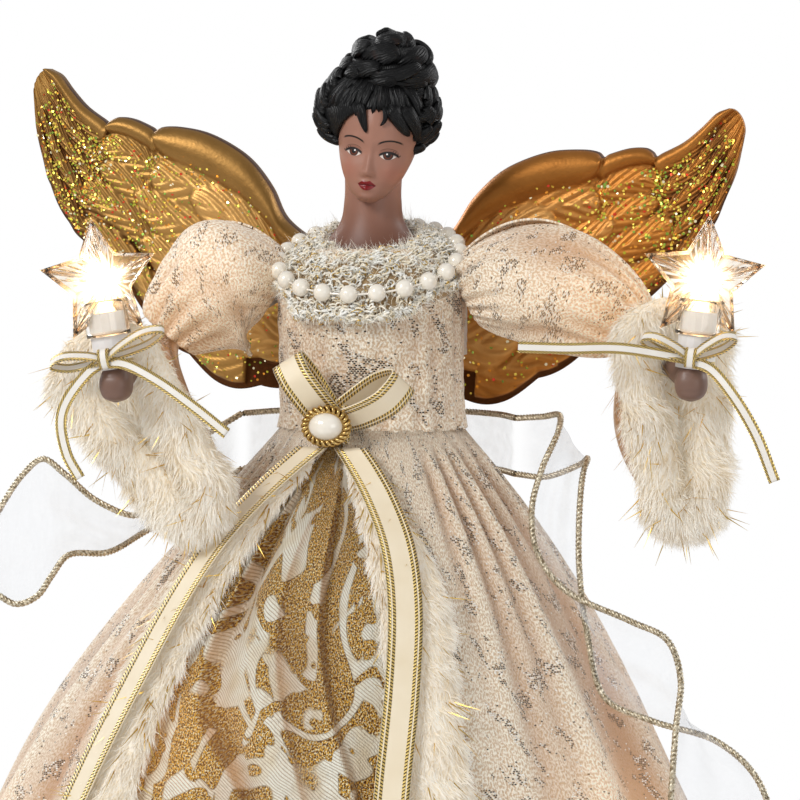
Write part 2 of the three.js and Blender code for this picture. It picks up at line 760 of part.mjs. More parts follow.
function broochSetting() {
  const rope = loop(
    angles(30).map((a) =>
      angles(4).map((b) => {
        const fat = ROPE_RADIUS * (1 + 0.2 * Math.cos(ROPE_TWISTS * a + b));
        const reach = fat * Math.cos(b);
        return at(
          (BROOCH_HALF_WIDTH - ROPE_RADIUS + reach) * Math.sin(a),
          -fat * Math.sin(b),
          (BROOCH_HALF_HEIGHT - ROPE_RADIUS + reach) * Math.cos(a),
        );
      }),
    ),
  );
  const plate = new THREE.CylinderGeometry(1, 1, 1, 14)
    .scale(BROOCH_HALF_WIDTH - ROPE_RADIUS, 1.2, BROOCH_HALF_HEIGHT - ROPE_RADIUS)
    .translate(0, 0.5, 0);
  const stem = new THREE.CylinderGeometry(1.6, 1.6, 4, 8).translate(0, 2.6, 0);
  return join(rope, plate, stem).translate(BROOCH_PLACE.x, BROOCH_FRONT, BROOCH_PLACE.z);
}
piece("brooch_setting", broochSetting(), FINISH.gold);

function broochPearl() {
  const dome = ball(at(0, 0, 0), [4.1, 3, 3.1], 14, 8);
  const behind = new THREE.BoxGeometry(20, 10, 20).translate(0, 5, 0);
  return cut(dome, behind).translate(BROOCH_PLACE.x, BROOCH_FRONT - 0.1 - SEAT_GAP, BROOCH_PLACE.z);
}
piece("brooch_pearl", broochPearl(), FINISH.pearl);

// Arms.

function armFrame(arm) {
  const shoulder = SHOULDER.clone();
  shoulder.x *= arm.side;
  const forearm = arm.hand.clone().sub(arm.elbow).normalize();
  const mouth = arm.hand.clone().addScaledVector(forearm, -HAND_TO_MOUTH).add(arm.cuffShift);
  const bow = shoulder.clone().lerp(arm.elbow, 0.5).add(at(0, 0, PUFF_RISE));
  const puff = new THREE.QuadraticBezierCurve3(shoulder.clone().add(at(2.6 * arm.side, 0, 0)), bow, arm.elbow);
  const outward = at(forearm.x, forearm.y, 0).normalize(); // the mouth hangs upright, so it faces level
  return { shoulder, forearm, outward, mouth, puff, axes: crossAxes(outward, arm.cuffLean) };
}

function armWire(arm) {
  const { shoulder, forearm, mouth, axes } = armFrame(arm);
  const palm = arm.hand.clone().addScaledVector(forearm, -HAND_HALF_WIDTH - SEAT_GAP);
  const inMouth = mouth.clone().addScaledVector(arm.cuffShift, -0.6).addScaledVector(axes.up, -1.4);
  const path = curveThrough([
    shoulder,
    shoulder.clone().lerp(arm.elbow, 0.5).add(at(0, 0, -WIRE_SAG)),
    arm.elbow,
    inMouth,
    inMouth.clone().addScaledVector(forearm, 9),
    palm,
  ]);
  return tube(path, WIRE_RADIUS, 18, 5);
}

// Puff sleeve: gathered at both ends, full in the middle.
function puffWall(arm, clear) {
  const { puff } = armFrame(arm);
  const rings = (grow) =>
    shares(7).map((s) => {
      const { side, up } = crossAxes(puff.getTangent(s));
      const full = Math.sin(Math.PI * s) ** 0.75;
      return angles(16).map((a) => {
        const gather = 1 + 0.07 * Math.cos(8 * a) * (1 - full) + 0.04 * Math.cos(5 * a + 6 * s) * full;
        const reach = lerp(PUFF_END_RADIUS, PUFF_RADIUS, full) * gather + grow;
        return puff.getPoint(s).addScaledVector(side, reach * Math.sin(a)).addScaledVector(up, reach * Math.cos(a));
      });
    });
  return shell(rings(clear), rings(-CLOTH - clear));
}
const puffSleeve = (arm) =>
  cut(puffWall(arm, 0), loft(bodiceRings(SEAT_GAP)), collarRing(SEAT_GAP), pearlChannel());

// The sleeve's mouth: a loop that is wide round the wrist and tapers to a fold that hangs below it.
function mouthPoint(angle, grow) {
  const end = CUFF_FOLD_HALF_WIDTH;
  const straight = (CUFF_DROP + CUFF_RISE) / 2 - end;
  const middle = (CUFF_RISE - CUFF_DROP) / 2;
  const above = end * Math.cos(angle) + Math.sign(Math.cos(angle)) * straight;
  const share = Math.min(1, Math.max(0, above / straight / 2 + 0.5));
  const half = lerp(CUFF_FOLD_HALF_WIDTH, CUFF_HALF_WIDTH, share);
  return [(half + grow) * Math.sin(angle), middle + above + grow * Math.cos(angle)];
}
const mouthAngles = (n) => angles(n).map((a) => a + Math.PI / n); // no point on the straight sides' middle

function bellSleeve(arm) {
  const { outward, mouth, puff, axes } = armFrame(arm);
  const into = puff.getTangent(1);
  const start = arm.elbow.clone().addScaledVector(into, -2);
  const path = new THREE.CubicBezierCurve3(
    start,
    start.clone().addScaledVector(into, 7),
    mouth.clone().addScaledVector(outward, -9),
    mouth,
  );
  const first = crossAxes(into);
  const startRadius = PUFF_END_RADIUS - CLOTH - 2.5;
  const rings = (grow) =>
    shares(5).map((s) => {
      const open = smoothstep(s, 0.1, 1.0);
      const side = first.side.clone().lerp(axes.side, open).normalize();
      const up = first.up.clone().lerp(axes.up, open).normalize();
      return mouthAngles(16).map((a) => {
        const [wide, high] = mouthPoint(a, grow);
        const round = startRadius + grow;
        return path
          .getPoint(s)
          .addScaledVector(side, lerp(round * Math.sin(a), wide, open))
          .addScaledVector(up, lerp(round * Math.cos(a), high, open));
      });
    });
  return shell(rings(0), rings(-CLOTH));
}

function furCuff(arm) {
  const { outward, mouth, axes } = armFrame(arm);
  const centre = mouth.clone().addScaledVector(outward, CUFF_FUR_RADIUS + SEAT_GAP);
  return loop(
    mouthAngles(20).map((a) =>
      mouthAngles(6).map((b) => {
        const [wide, high] = mouthPoint(a, CUFF_FUR_RADIUS * Math.cos(b));
        return centre
          .clone()
          .addScaledVector(axes.side, wide)
          .addScaledVector(axes.up, high)
          .addScaledVector(outward, CUFF_FUR_RADIUS * Math.sin(b));
      }),
    ),
  );
}

// Hand: a closed fist with four finger ridges, on which the candle stands.
function hand() {
  return loft(
    shares(9).map((s) => {
      const z = lerp(CANDLE_BOTTOM - SEAT_GAP - HAND_HEIGHT, CANDLE_BOTTOM - SEAT_GAP, s);
      const taper = 0.62 + 0.38 * Math.sin(Math.PI * lerp(0.12, 0.72, s));
      const finger = 0.35 * Math.cos(8 * Math.PI * s);
      return angles(12).map((a) => {
        const front = Math.max(0, Math.cos(a));
        const reach = HAND_HALF_WIDTH * taper + finger * front;
        return at(reach * Math.sin(a), -reach * 0.95 * Math.cos(a), z);
      });
    }),
  );
}

// Candle light: white socket tube, push-in lamp and clear star cover, all on the candle's own axis.
function candle() {
  const seat = CANDLE_TOP - LAMP_SEAT_DEPTH;
  return revolve(
    [
      [0, CANDLE_BOTTOM],
      [CANDLE_RADIUS, CANDLE_BOTTOM],
      [CANDLE_RADIUS, CANDLE_TOP],
      [LAMP_RADIUS + SEAT_GAP, CANDLE_TOP],
      [LAMP_RADIUS + SEAT_GAP, seat],
      [0, seat],
    ],
    16,
  );
}

function candleLamp() {
  const base = CANDLE_TOP - LAMP_SEAT_DEPTH + SEAT_GAP;
  const glass = CANDLE_TOP + 1;
  const tip = glass + LAMP_GLASS_LENGTH;
  return revolve(
    [
      [0, base],
      [LAMP_RADIUS, base],
      [LAMP_RADIUS, glass],
      [LAMP_RADIUS - 0.4, glass],
      [LAMP_RADIUS - 0.4, tip - 4],
      [0, tip],
    ],
    10,
  );
}

function starCover(turn) {
  const outline = angles(10).map((a, i) => {
    const reach = i % 2 ? STAR_NOTCH : STAR_REACH;
    return at(reach * Math.sin(a), 0, STAR_CENTRE + reach * Math.cos(a));
  });
  const faces = [-1, 1].map((face) => at(0, (face * STAR_THICKNESS) / 2, STAR_CENTRE));
  const triangles = count(10).flatMap((i) => [
    [i, (i + 1) % 10, 10],
    [(i + 1) % 10, i, 11],
  ]);
  const body = closedGeometry([...outline, ...faces], triangles).rotateZ(turn);
  const bore = CANDLE_RADIUS + SEAT_GAP;
  const neckBottom = CANDLE_TOP - STAR_NECK_LENGTH;
  const neckRadius = bore + STAR_WALL;
  const neckTube = revolve(
    [
      [0, neckBottom],
      [neckRadius, neckBottom],
      [neckRadius, STAR_CENTRE],
      [0, STAR_CENTRE],
    ],
    16,
  );
  const lampRoom = LAMP_RADIUS + 0.8;
  const stop = CANDLE_TOP + SEAT_GAP;
  const roof = CANDLE_TOP + LAMP_GLASS_LENGTH + 2;
  const hollow = revolve(
    [
      [0, neckBottom - 1],
      [bore, neckBottom - 1],
      [bore, stop],
      [lampRoom, stop],
      [lampRoom, roof - 3],
      [0, roof],
    ],
    16,
  );
  return cut(join(body, neckTube), hollow);
}

// Candle bow: a narrow ribbon tied round the candle's foot, with two loops and two tails in front.
function candleBow(arm) {
  const level = CANDLE_BOTTOM + 3;
  const inner = CANDLE_RADIUS + SEAT_GAP;
  const band = shell(
    [-2, 2].map((dz) => oval(inner + RIBBON_THICKNESS, inner + RIBBON_THICKNESS, level + dz, 10)),
    [-2, 2].map((dz) => oval(inner, inner, level + dz, 10)),
  );
  const knot = at(0, -inner - 1.6, level);
  const facing = at(0, -1, 0);
  const tipped = at(0, -0.7, 0.7);
  const loops = arm.loops.map(([x, z]) => ribbonLoop(knot, at(x, -1.5, z), tipped, CANDLE_RIBBON, 2.4, 8));
  const tails = arm.tails.map((points, i) => {
    const leaves = knot.clone().add(at(0, 0.7 - i, -0.5 - 0.4 * i));
    const path = curveThrough([leaves, ...points.map(([x, y, z]) => at(x, y, level + z))]);
    return strip(path, (s) => path.getTangentAt(s).cross(facing), CANDLE_RIBBON, RIBBON_THICKNESS, 6);
  });
  return filled(join(band, new THREE.BoxGeometry(4.6, 2.9, 5.3).translate(...knot.toArray()), ...loops, ...tails));
}

for (const [name, arm] of Object.entries(ARMS)) {
  piece(`arm_wire_${name}`, armWire(arm), FINISH.steel);
  piece(`puff_sleeve_${name}`, puffSleeve(arm), FINISH.brocade);
  piece(`bell_sleeve_${name}`, bellSleeve(arm), FINISH.brocade);
  piece(`fur_cuff_${name}`, furCuff(arm), FINISH.fur);
  const light = new THREE.Group();
  light.position.copy(arm.hand);
  light.rotation.y = arm.candleTilt;
  piece(`hand_${name}`, hand(), FINISH.skin, light);
  piece(`candle_${name}`, candle(), FINISH.candle, light);
  piece(`candle_lamp_${name}`, candleLamp(), FINISH.glass, light);
  piece(`star_cover_${name}`, starCover(arm.starTurn), FINISH.clear, light);
  piece(`candle_bow_${name}`, candleBow(arm), FINISH.ribbon, light);
  angel.add(light);
}

// Wings: moulded shells with a rounded leading edge and ridged feathers, screwed to a plate on the back.

// Leading and trailing edges from root to tip, as [distance from the middle, height over the torso].
// The part below the torso's top is as high as the room over the shawl.
const WING_FOOT_Z = SHAWL_TOP + 5;
const WING_ROOT_HEIGHT = TORSO_TOP_Z - WING_FOOT_Z;
const wingHeight = (w) => TORSO_TOP_Z + (w < 0 ? (w * WING_ROOT_HEIGHT) / 33 : w);
const wingEdge = (places) => curveThrough(places.map(([u, w]) => at(u, 0, wingHeight(w))));
const wingLead = wingEdge([
  [8, 2], [16, 6.5], [23.8, 13.4], [28.5, 21.5], [34.5, 28.3], [41, 32.5], [49, 35.6], [57, 36.6], [61.4, 36.2],
  [63.2, 34.9], [65, 36], [70, 37.8], [74, 38.2], [76.2, 37.3], [77.4, 36.1], [79.2, 37.2], [84.5, 40.4], [89, 44.6],
  [92.6, 48.6], [95.5, 50],
]);
const wingTrail = wingEdge([
  [7, -23], [13, -28], [20, -31.5], [27, -33], [34, -33], [41, -31], [47.5, -27.5], [53.5, -23.5], [59.5, -18.5],
  [65, -13], [70, -8], [75, -3.5], [80, 0.5], [84.5, 4.5], [87.2, 8.6], [90.8, 13], [94.3, 19], [96.3, 25.5],
  [98.6, 33], [99.6, 42],
]);

function wing(name, side) {
  const tilt = WING_TILT[name];
  const place = (u, w, back) => {
    const du = u - WING_PIVOT.x;
    const dw = w - WING_PIVOT.y;
    const turnedU = WING_PIVOT.x + du * Math.cos(tilt) - dw * Math.sin(tilt);
    const turnedW = WING_PIVOT.y + du * Math.sin(tilt) + dw * Math.cos(tilt);
    const spread = WING_SPREAD[name] * smoothstep(u, 8, 26);
    return at(side * (turnedU + spread) + WING_SHIFT, WING_BACK_Y + WING_SWEEP * (u / 100) ** 1.3 + back, turnedW);
  };
  const grid = (face) =>
    shares(39).map((s) => {
      const lead = wingLead.getPoint(s);
      const trail = wingTrail.getPoint(s);
      return shares(9).map((t) => {
        const scallop = 1 + 0.035 * Math.abs(Math.sin(WING_FEATHERS * Math.PI * s)) * t;
        const u = lerp(lead.x, trail.x, t * scallop);
        const w = lerp(lead.z, trail.z, t * scallop);
        const roll = WING_ROLL_THICKNESS * Math.exp(-(((t - 0.06) / 0.13) ** 2)) * (1 - 0.6 * s);
        const ridge = WING_RIDGE * (0.5 + 0.5 * Math.cos(WING_FEATHERS * 2 * Math.PI * (0.62 * t + 0.3 * s))) * smoothstep(t, 0.15, 0.4);
        const edge = 1 - 0.75 * Math.max(smoothstep(t, 0.9, 1), 1 - smoothstep(t, 0, 0.06));
        return place(u, w, face ? WING_ROLL_THICKNESS + WING_EDGE : WING_ROLL_THICKNESS - (roll + ridge) * edge);
      });
    });
  return cut(sheet(grid(0), grid(1)), screwHole(side));
}

const PLATE_WIDTH = 40;
const PLATE_HEIGHT = 0.55 * WING_ROOT_HEIGHT;
const SCREW_PLACE = new THREE.Vector2(15.5, TORSO_TOP_Z - 0.4 * WING_ROOT_HEIGHT);
const PLATE_FRONT = BODICE_DEPTH * 1.07 + SEAT_GAP;
const PLATE_BACK = WING_BACK_Y + WING_ROLL_THICKNESS - WING_RIDGE - SEAT_GAP;
const SCREW_SEAT = WING_BACK_Y + WING_ROLL_THICKNESS + WING_EDGE + 1.5;

function screwHole(side) {
  return new THREE.CylinderGeometry(SCREW_RADIUS + SEAT_GAP, SCREW_RADIUS + SEAT_GAP, 60, 10)
    .translate(0, PLATE_FRONT + 1 + 30, 0)
    .translate(side * SCREW_PLACE.x, 0, SCREW_PLACE.y);
}

function wingPlate() {
  const block = new THREE.BoxGeometry(PLATE_WIDTH, PLATE_BACK - PLATE_FRONT, PLATE_HEIGHT);
  return cut(block.translate(0, (PLATE_BACK + PLATE_FRONT) / 2, SCREW_PLACE.y), screwHole(-1), screwHole(1));
}

function wingScrew() {
  const tip = PLATE_FRONT + 1 + SEAT_GAP;
  return revolve(
    [
      [0, -SCREW_SEAT - 1.6],
      [2, -SCREW_SEAT - 1.6],
      [3, -SCREW_SEAT - 0.6],
      [3, -SCREW_SEAT],
      [SCREW_RADIUS, -SCREW_SEAT],
      [SCREW_RADIUS, -tip],
      [0, -tip],
    ],
    12,
  );
}

piece("wing_plate", wingPlate(), FINISH.cone);
for (const [name, side] of [["right", -1], ["left", 1]]) {
  piece(`wing_${name}`, wing(name, side), FINISH.wing);
  const screw = piece(`wing_screw_${name}`, wingScrew(), FINISH.steel);
  screw.rotation.x = Math.PI / 2;
  screw.position.set(side * SCREW_PLACE.x, 0, SCREW_PLACE.y);
}

// Shawl: a sheer strip behind the waist and over both forearms, with a wired cord along each edge.

// The strip between two edge curves, held clear of the cords.
function drape(upper, lower, rows, columns) {
  const inset = SHAWL_CORD_RADIUS + LAYER_GAP;
  const faces = [0.5, -0.5].map((face) =>
    shares(rows).map((s) => {
      const a = upper.getPoint(s);
      const b = lower.getPoint(s);
      const down = b.clone().sub(a);
      const share = (edge) => {
        const square = edge.getTangent(s).cross(down).length();
        return Math.min(0.35, inset / square);
      };
      const normal = upper.getTangent(s).add(lower.getTangent(s)).cross(down).normalize();
      return shares(columns).map((t) =>
        a
          .clone()
          .addScaledVector(down, lerp(share(upper), 1 - share(lower), t))
          .addScaledVector(normal, face * SHAWL_THICKNESS),
      );
    }),
  );
  return sheet(faces[0], faces[1]);
}

// The cord bends at the same places as the strip, so that the two keep their distance.
function edgeCord(edge, steps) {
  return loft(
    shares(steps + 1).map((s) => {
      const { side, up } = crossAxes(edge.getTangent(s));
      return angles(4).map((a) =>
        edge
          .getPoint(s)
          .addScaledVector(side, SHAWL_CORD_RADIUS * Math.cos(a))
          .addScaledVector(up, SHAWL_CORD_RADIUS * Math.sin(a)),
      );
    }),
  );
}

const points = (list) => list.map(([x, y, z]) => at(x, y, z));
const behindWaist = (z) => [105, 130, 155, 180, 205, 230, 255].map((d) => skirtPoint(rad(d), SHAWL_FOOT, 2.2).setZ(z));
const shawlEnd = (side, z) => {
  const end = skirtPoint(rad(180 - side * 75), SHAWL_FOOT, 2.2);
  return at(end.x + side * SEAT_GAP, end.y - SEAT_GAP, z);
};
const SHAWLS = {
  back: [curveThrough(behindWaist(SHAWL_TOP)), curveThrough(behindWaist(SHAWL_FOOT))],
  left: [
    curveThrough([
      shawlEnd(1, SHAWL_TOP),
      ...points([
        [46, 2, 202], [52, -6, 203], [53, -14, 199], [50, -20, 190], [48, -23, 180], [50, -26, 169], [58, -30, 160],
        [76, -35, 153], [86, -39, 149], [90, -43, 140], [89.5, -47, 128], [89, -51, 112], [88, -53, 92],
      ]),
    ]),
    curveThrough([
      shawlEnd(1, SHAWL_FOOT),
      ...points([
        [47, 3, 186], [57, -2, 190], [60, -9, 192], [60, -15, 189], [60, -20, 181], [61, -26, 165], [64, -30, 148],
        [69, -33, 133], [82, -37, 128], [99, -41, 124], [109, -43, 116], [114, -45, 104], [115, -45, 90],
      ]),
    ]),
  ],
  right: [
    curveThrough([
      shawlEnd(-1, SHAWL_TOP),
      ...points([
        [-50, 0, 193], [-58, -14, 184], [-58, -24, 176], [-68, -28, 180], [-76, -30, 187], [-82, -30, 191],
        [-88, -28, 187], [-95, -26, 178], [-102, -24, 166],
      ]),
    ]),
    curveThrough([
      shawlEnd(-1, SHAWL_FOOT),
      ...points([
        [-50, 1, 177], [-60, -13, 170], [-66, -25, 166], [-74, -34, 166], [-77, -39, 161], [-80, -42, 156],
        [-85, -44, 154], [-92, -44, 157], [-99, -43, 156],
      ]),
    ]),
  ],
};
for (const [name, [upper, lower]] of Object.entries(SHAWLS)) {
  const steps = name === "back" ? 10 : 26;
  piece(`shawl_${name}`, drape(upper, lower, steps + 1, 3), FINISH.organza);
  piece(`shawl_cord_upper_${name}`, edgeCord(upper, steps), FINISH.cord);
  piece(`shawl_cord_lower_${name}`, edgeCord(lower, steps), FINISH.cord);
}

export default angel;
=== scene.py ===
import math

import bmesh
import bpy
import numpy as np
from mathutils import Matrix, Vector


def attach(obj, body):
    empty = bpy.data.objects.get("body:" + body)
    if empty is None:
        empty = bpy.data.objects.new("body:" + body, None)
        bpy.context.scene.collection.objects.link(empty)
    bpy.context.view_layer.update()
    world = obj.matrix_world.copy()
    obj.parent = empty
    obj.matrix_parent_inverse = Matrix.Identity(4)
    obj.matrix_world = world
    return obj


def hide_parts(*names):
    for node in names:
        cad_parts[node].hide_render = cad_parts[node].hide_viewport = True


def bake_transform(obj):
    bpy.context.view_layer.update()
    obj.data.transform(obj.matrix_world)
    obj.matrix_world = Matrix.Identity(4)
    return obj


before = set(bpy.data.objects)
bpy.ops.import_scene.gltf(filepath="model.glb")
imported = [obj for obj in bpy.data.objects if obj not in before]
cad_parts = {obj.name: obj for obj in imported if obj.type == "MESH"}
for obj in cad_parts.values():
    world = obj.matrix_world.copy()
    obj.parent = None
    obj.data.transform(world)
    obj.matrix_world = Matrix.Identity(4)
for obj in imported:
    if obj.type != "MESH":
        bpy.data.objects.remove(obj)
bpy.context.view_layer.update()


# View, light and floor.
# The photograph looks from a little to the angel's left and slightly above, in soft white light.
VIEW_TURN = math.radians(13)
VIEW_RISE = math.radians(4)
VIEW_DISTANCE = 1.0
AIM_ASIDE = 0.0075
AIM_HEIGHT = 0.2058
LENS = 168.75
LIGHTS = {
    "key": ((-0.55, -0.9, 0.85), 0.45, 8.4),
    "fill": ((0.8, -0.8, 0.35), 0.6, 2.0),
    "rim_right": ((-0.65, 0.5, 0.55), 0.4, 3.0),
    "rim_left": ((0.65, 0.5, 0.55), 0.4, 2.3),
}
STUDIO_LIGHT = (0.42, 0.42, 0.43, 1)
WHITE, BLACK = (1, 1, 1, 1), (0, 0, 0, 1)
FLOOR_REACH, FLOOR_DROP = 0.5, 0.001
PAPER_GREY = (0.85, 0.85, 0.85, 1)

scene = bpy.context.scene
scene.view_settings.view_transform = "Standard"
aim = Vector((math.cos(VIEW_TURN), math.sin(VIEW_TURN), 0)) * AIM_ASIDE + Vector((0, 0, AIM_HEIGHT))
towards = Vector((math.sin(VIEW_TURN), -math.cos(VIEW_TURN), math.tan(VIEW_RISE))).normalized()
camera = bpy.data.objects.new("camera", bpy.data.cameras.new("camera"))
camera.data.lens = LENS
camera.location = aim + towards * VIEW_DISTANCE
camera.rotation_euler = towards.to_track_quat("Z", "Y").to_euler()
scene.collection.objects.link(camera)
scene.camera = camera
for name, (place, size, power) in LIGHTS.items():
    light = bpy.data.objects.new(name, bpy.data.lights.new(name, "AREA"))
    light.data.size = size
    light.data.energy = power
    light.location = place
    light.rotation_euler = (Vector(place) - aim).to_track_quat("Z", "Y").to_euler()
    scene.collection.objects.link(light)


def feed(socket, value):
    """Links a shader value to a socket, or sets the socket to a plain one."""
    if isinstance(value, Shade):
        socket.id_data.links.new(value.socket, socket)
    else:
        socket.default_value = value


class Shade:
    """A socket in a material; arithmetic on it adds Math nodes."""

    def __init__(self, socket):
        self.socket = socket

    def node(self, kind, settings=None, sockets=None, output=0):
        """The output of a new node of that type, with its settings and then its input sockets."""
        made = self.socket.id_data.nodes.new(kind)
        for name, value in (settings or {}).items():
            setattr(made, name, value)
        for name, value in (sockets or {}).items():
            feed(made.inputs[name], value)
        return Shade(made.outputs[output])

    def maths(self, operation, other=0.0, clamp=False):
        settings = {"operation": operation, "use_clamp": clamp}
        return self.node("ShaderNodeMath", settings, {0: self, 1: other})

    def __add__(self, other):
        return self.maths("ADD", other)

    def __sub__(self, other):
        return self.maths("SUBTRACT", other)

    def __mul__(self, other):
        return self.maths("MULTIPLY", other)

    def __truediv__(self, other):
        return self.maths("DIVIDE", other)

    def __rsub__(self, other):
        return self.maths("MULTIPLY", -1.0).maths("ADD", other)

    def __abs__(self):
        return self.maths("ABSOLUTE")

    __radd__ = __add__
    __rmul__ = __mul__

    def above(self, edge, soft):
        """1 where the value is over the edge, 0 under it, with a soft change between."""
        return ((self - edge) / soft).maths("ADD", 0.5, clamp=True)

    def zigzag(self):
        """Climbs from 0 to a half and falls back, once in each unit of the value."""
        return self.maths("FRACT").maths("PINGPONG", 0.5)

    def axis(self, number):
        """One of a vector's three numbers."""
        return self.node("ShaderNodeSeparateXYZ", {}, {0: self}, number)

    def noise(self, scale, detail=2.0):
        return self.node("ShaderNodeTexNoise", {}, {"Vector": self, "Scale": scale, "Detail": detail})

    def bump(self, distance):
        """The surface normal bent by this height, in metres at height 1."""
        return self.node("ShaderNodeBump", {}, {"Height": self, "Distance": distance})


def mixed(factor, first, second):
    """The first colour where the factor is 0 and the second where it is 1."""
    return factor.node("ShaderNodeMix", {"data_type": "RGBA"}, {0: factor, 6: first, 7: second}, 2)


world = bpy.data.worlds.new("studio")
world.use_nodes = True
scene.world = world
rays = Shade(world.node_tree.nodes.new("ShaderNodeLightPath").outputs["Is Camera Ray"])
clear_rays = Shade(rays.socket.node.outputs["Is Transmission Ray"])
sky = mixed(rays.maths("MAXIMUM", clear_rays), STUDIO_LIGHT, WHITE)
feed(world.node_tree.nodes["Background"].inputs["Color"], sky)

floor_mesh = bpy.data.meshes.new("floor")
corners = [(x * FLOOR_REACH, y * FLOOR_REACH, -FLOOR_DROP) for x, y in ((-1, -1), (1, -1), (1, 1), (-1, 1))]
floor_mesh.from_pydata(corners, [], [(0, 1, 2, 3)])
floor = bpy.data.objects.new("floor", floor_mesh)
scene.collection.objects.link(floor)
paper = bpy.data.materials.new("paper")
paper.use_nodes = True
paper_nodes = paper.node_tree.nodes
seen = Shade(paper_nodes.new("ShaderNodeLightPath").outputs["Is Camera Ray"])
lit = seen.node("ShaderNodeBsdfDiffuse", {}, {"Color": PAPER_GREY})
bright = seen.node("ShaderNodeEmission", {}, {"Color": WHITE})
paper_look = seen.node("ShaderNodeMixShader", {}, {0: seen, 1: lit, 2: bright})
feed(paper_nodes["Material Output"].inputs["Surface"], paper_look)
floor_mesh.materials.append(paper)


# Tree cone, torso form and wing plate.
# Injection-moulded white plastic: the cone slips over the tree, the torso is glued on top of it.
MM = 0.001


def srgb(*levels):
    """Linear colour of a display colour whose levels go from 0 to 255."""
    return tuple((level / 255) ** 2.2 for level in levels) + (1.0,)


def finish(name, **constants):
    """A new material with these shader settings: it, its shader's sockets and the object coordinates."""
    material = bpy.data.materials.new(name)
    material.use_nodes = True
    sockets = material.node_tree.nodes["Principled BSDF"].inputs
    for socket, value in constants.items():
        sockets[socket.replace("_", " ")].default_value = value
    coordinates = material.node_tree.nodes.new("ShaderNodeTexCoord")
    return material, sockets, Shade(coordinates.outputs["Object"])


def mottled(name, dark, light, scale, detail, smooth, rough, **constants):
    """A finish that one noise moves between two colours, and between a smooth and a rough value."""
    material, sockets, where = finish(name, **constants)
    drift = where.noise(scale, detail)
    feed(sockets["Base Color"], mixed(drift, srgb(*dark), srgb(*light)))
    feed(sockets["Roughness"], drift * (rough - smooth) + smooth)
    return material, sockets, where


def coat(material, *nodes):
    """Gives CAD nodes a material."""
    for node in nodes:
        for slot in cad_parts[node].material_slots:
            slot.material = material


white_plastic, sockets, where = finish("white_plastic", Subsurface_Weight=0.1, Subsurface_Scale=0.002)
feed(sockets["Base Color"], mixed(where.noise(60.0), srgb(226, 224, 218), srgb(240, 239, 235)))
feed(sockets["Roughness"], where.noise(220.0) * 0.2 + 0.32)
feed(sockets["Normal"], where.noise(900.0).bump(0.00005))
coat(white_plastic, "tree_cone", "torso_form", "wing_plate")


# Light set inside the skirt, arm wires and wing screws.
# Push-in lamps of warm glass, zinc-plated steel wire bent to each arm's pose and plated screws.
LAMP_COUNT = 8

lamp_glass, sockets, where = finish("lamp_glass", Roughness=0.1, Emission_Strength=3.0)
filament = where.noise(400.0)
feed(sockets["Base Color"], mixed(filament, srgb(250, 214, 160), srgb(255, 236, 205)))
feed(sockets["Emission Color"], mixed(filament, srgb(255, 196, 120), srgb(255, 226, 170)))
coat(lamp_glass, *[f"skirt_lamp_{k + 1}" for k in range(LAMP_COUNT)])

steel, _, _ = mottled("plated_steel", (150, 152, 155), (198, 200, 203), 700.0, 4.0, 0.2, 0.5, Metallic=1.0)
coat(steel, "arm_wire_right", "arm_wire_left", "wing_screw_right", "wing_screw_left")


# Bust: head, neck and shoulder plate.
# Cast resin painted brown, with eyes, brows and mouth painted on by hand; it stands on the torso form.
WELD_REACH = 0.000002
CHIN = np.array([0.8, -3.0, 259.8])
HEAD_HEIGHT = 34.0
HEAD_HALF_WIDTH = 10.9
HEAD_NOD, HEAD_ROLL, HEAD_TURN = np.radians([7, 7.5, 4])
HEAD_LEVELS = [0.0, 0.05, 0.14, 0.27, 0.38, 0.5, 0.63, 0.78, 0.9, 1.0]
HEAD_WIDTHS = [0.2, 0.42, 0.64, 0.83, 0.93, 0.98, 1.0, 0.9, 0.64, 0.1]
HEAD_FRONTS = [0.86, 0.99, 1.02, 1.03, 1.0, 1.05, 1.05, 0.84, 0.55, 0.08]
HEAD_BACKS = [-0.55, -0.05, 0.35, 0.68, 0.92, 1.08, 1.14, 1.0, 0.68, 0.1]
NECK_HEIGHTS = [239.4, 242, 245, 248.5, 253, 259, 267, 277]
NECK_WIDTHS = [20.4, 18.4, 15.4, 12, 8.7, 7.6, 7.6, 7.2]
NECK_DEPTHS = [14.6, 13.2, 12, 10.2, 8.6, 7.6, 7.6, 8.0]
EYE_ASIDE, EYE_HEIGHT = 4.6, 13.1
NOSE_HEIGHT, MOUTH_HEIGHT = 8.2, 4.8
LID_RISE, LID_BEND = 0.68, 0.15
LOWER_DROP, LOWER_BEND = 1.2, 0.2
PAINT_SCALE, BACK_SHIFT = 0.01, 100
IRIS_RADIUS, PUPIL_RADIUS, GLINT_RADIUS = 1.3, 0.62, 0.2
BROW_RADIUS, BROW_HALF, BROW_REACH = 5.2, 0.24, 2.9
LIP_REACH, LIP_HEIGHT = 2.55, 1.35
THROAT_Z = 0.254


def lerp(a, b, t):
    """From a at t = 0 to b at t = 1 in a straight line."""
    return a + (b - a) * t


def smoothstep(x, low, high):
    """0 under low, 1 over high, with a smooth change between."""
    t = np.clip((x - low) / (high - low), 0, 1)
    return t * t * (3 - 2 * t)


def unit(v):
    """Vectors cut to length 1."""
    return v / np.maximum(np.linalg.norm(v, axis=-1, keepdims=True), 1e-9)


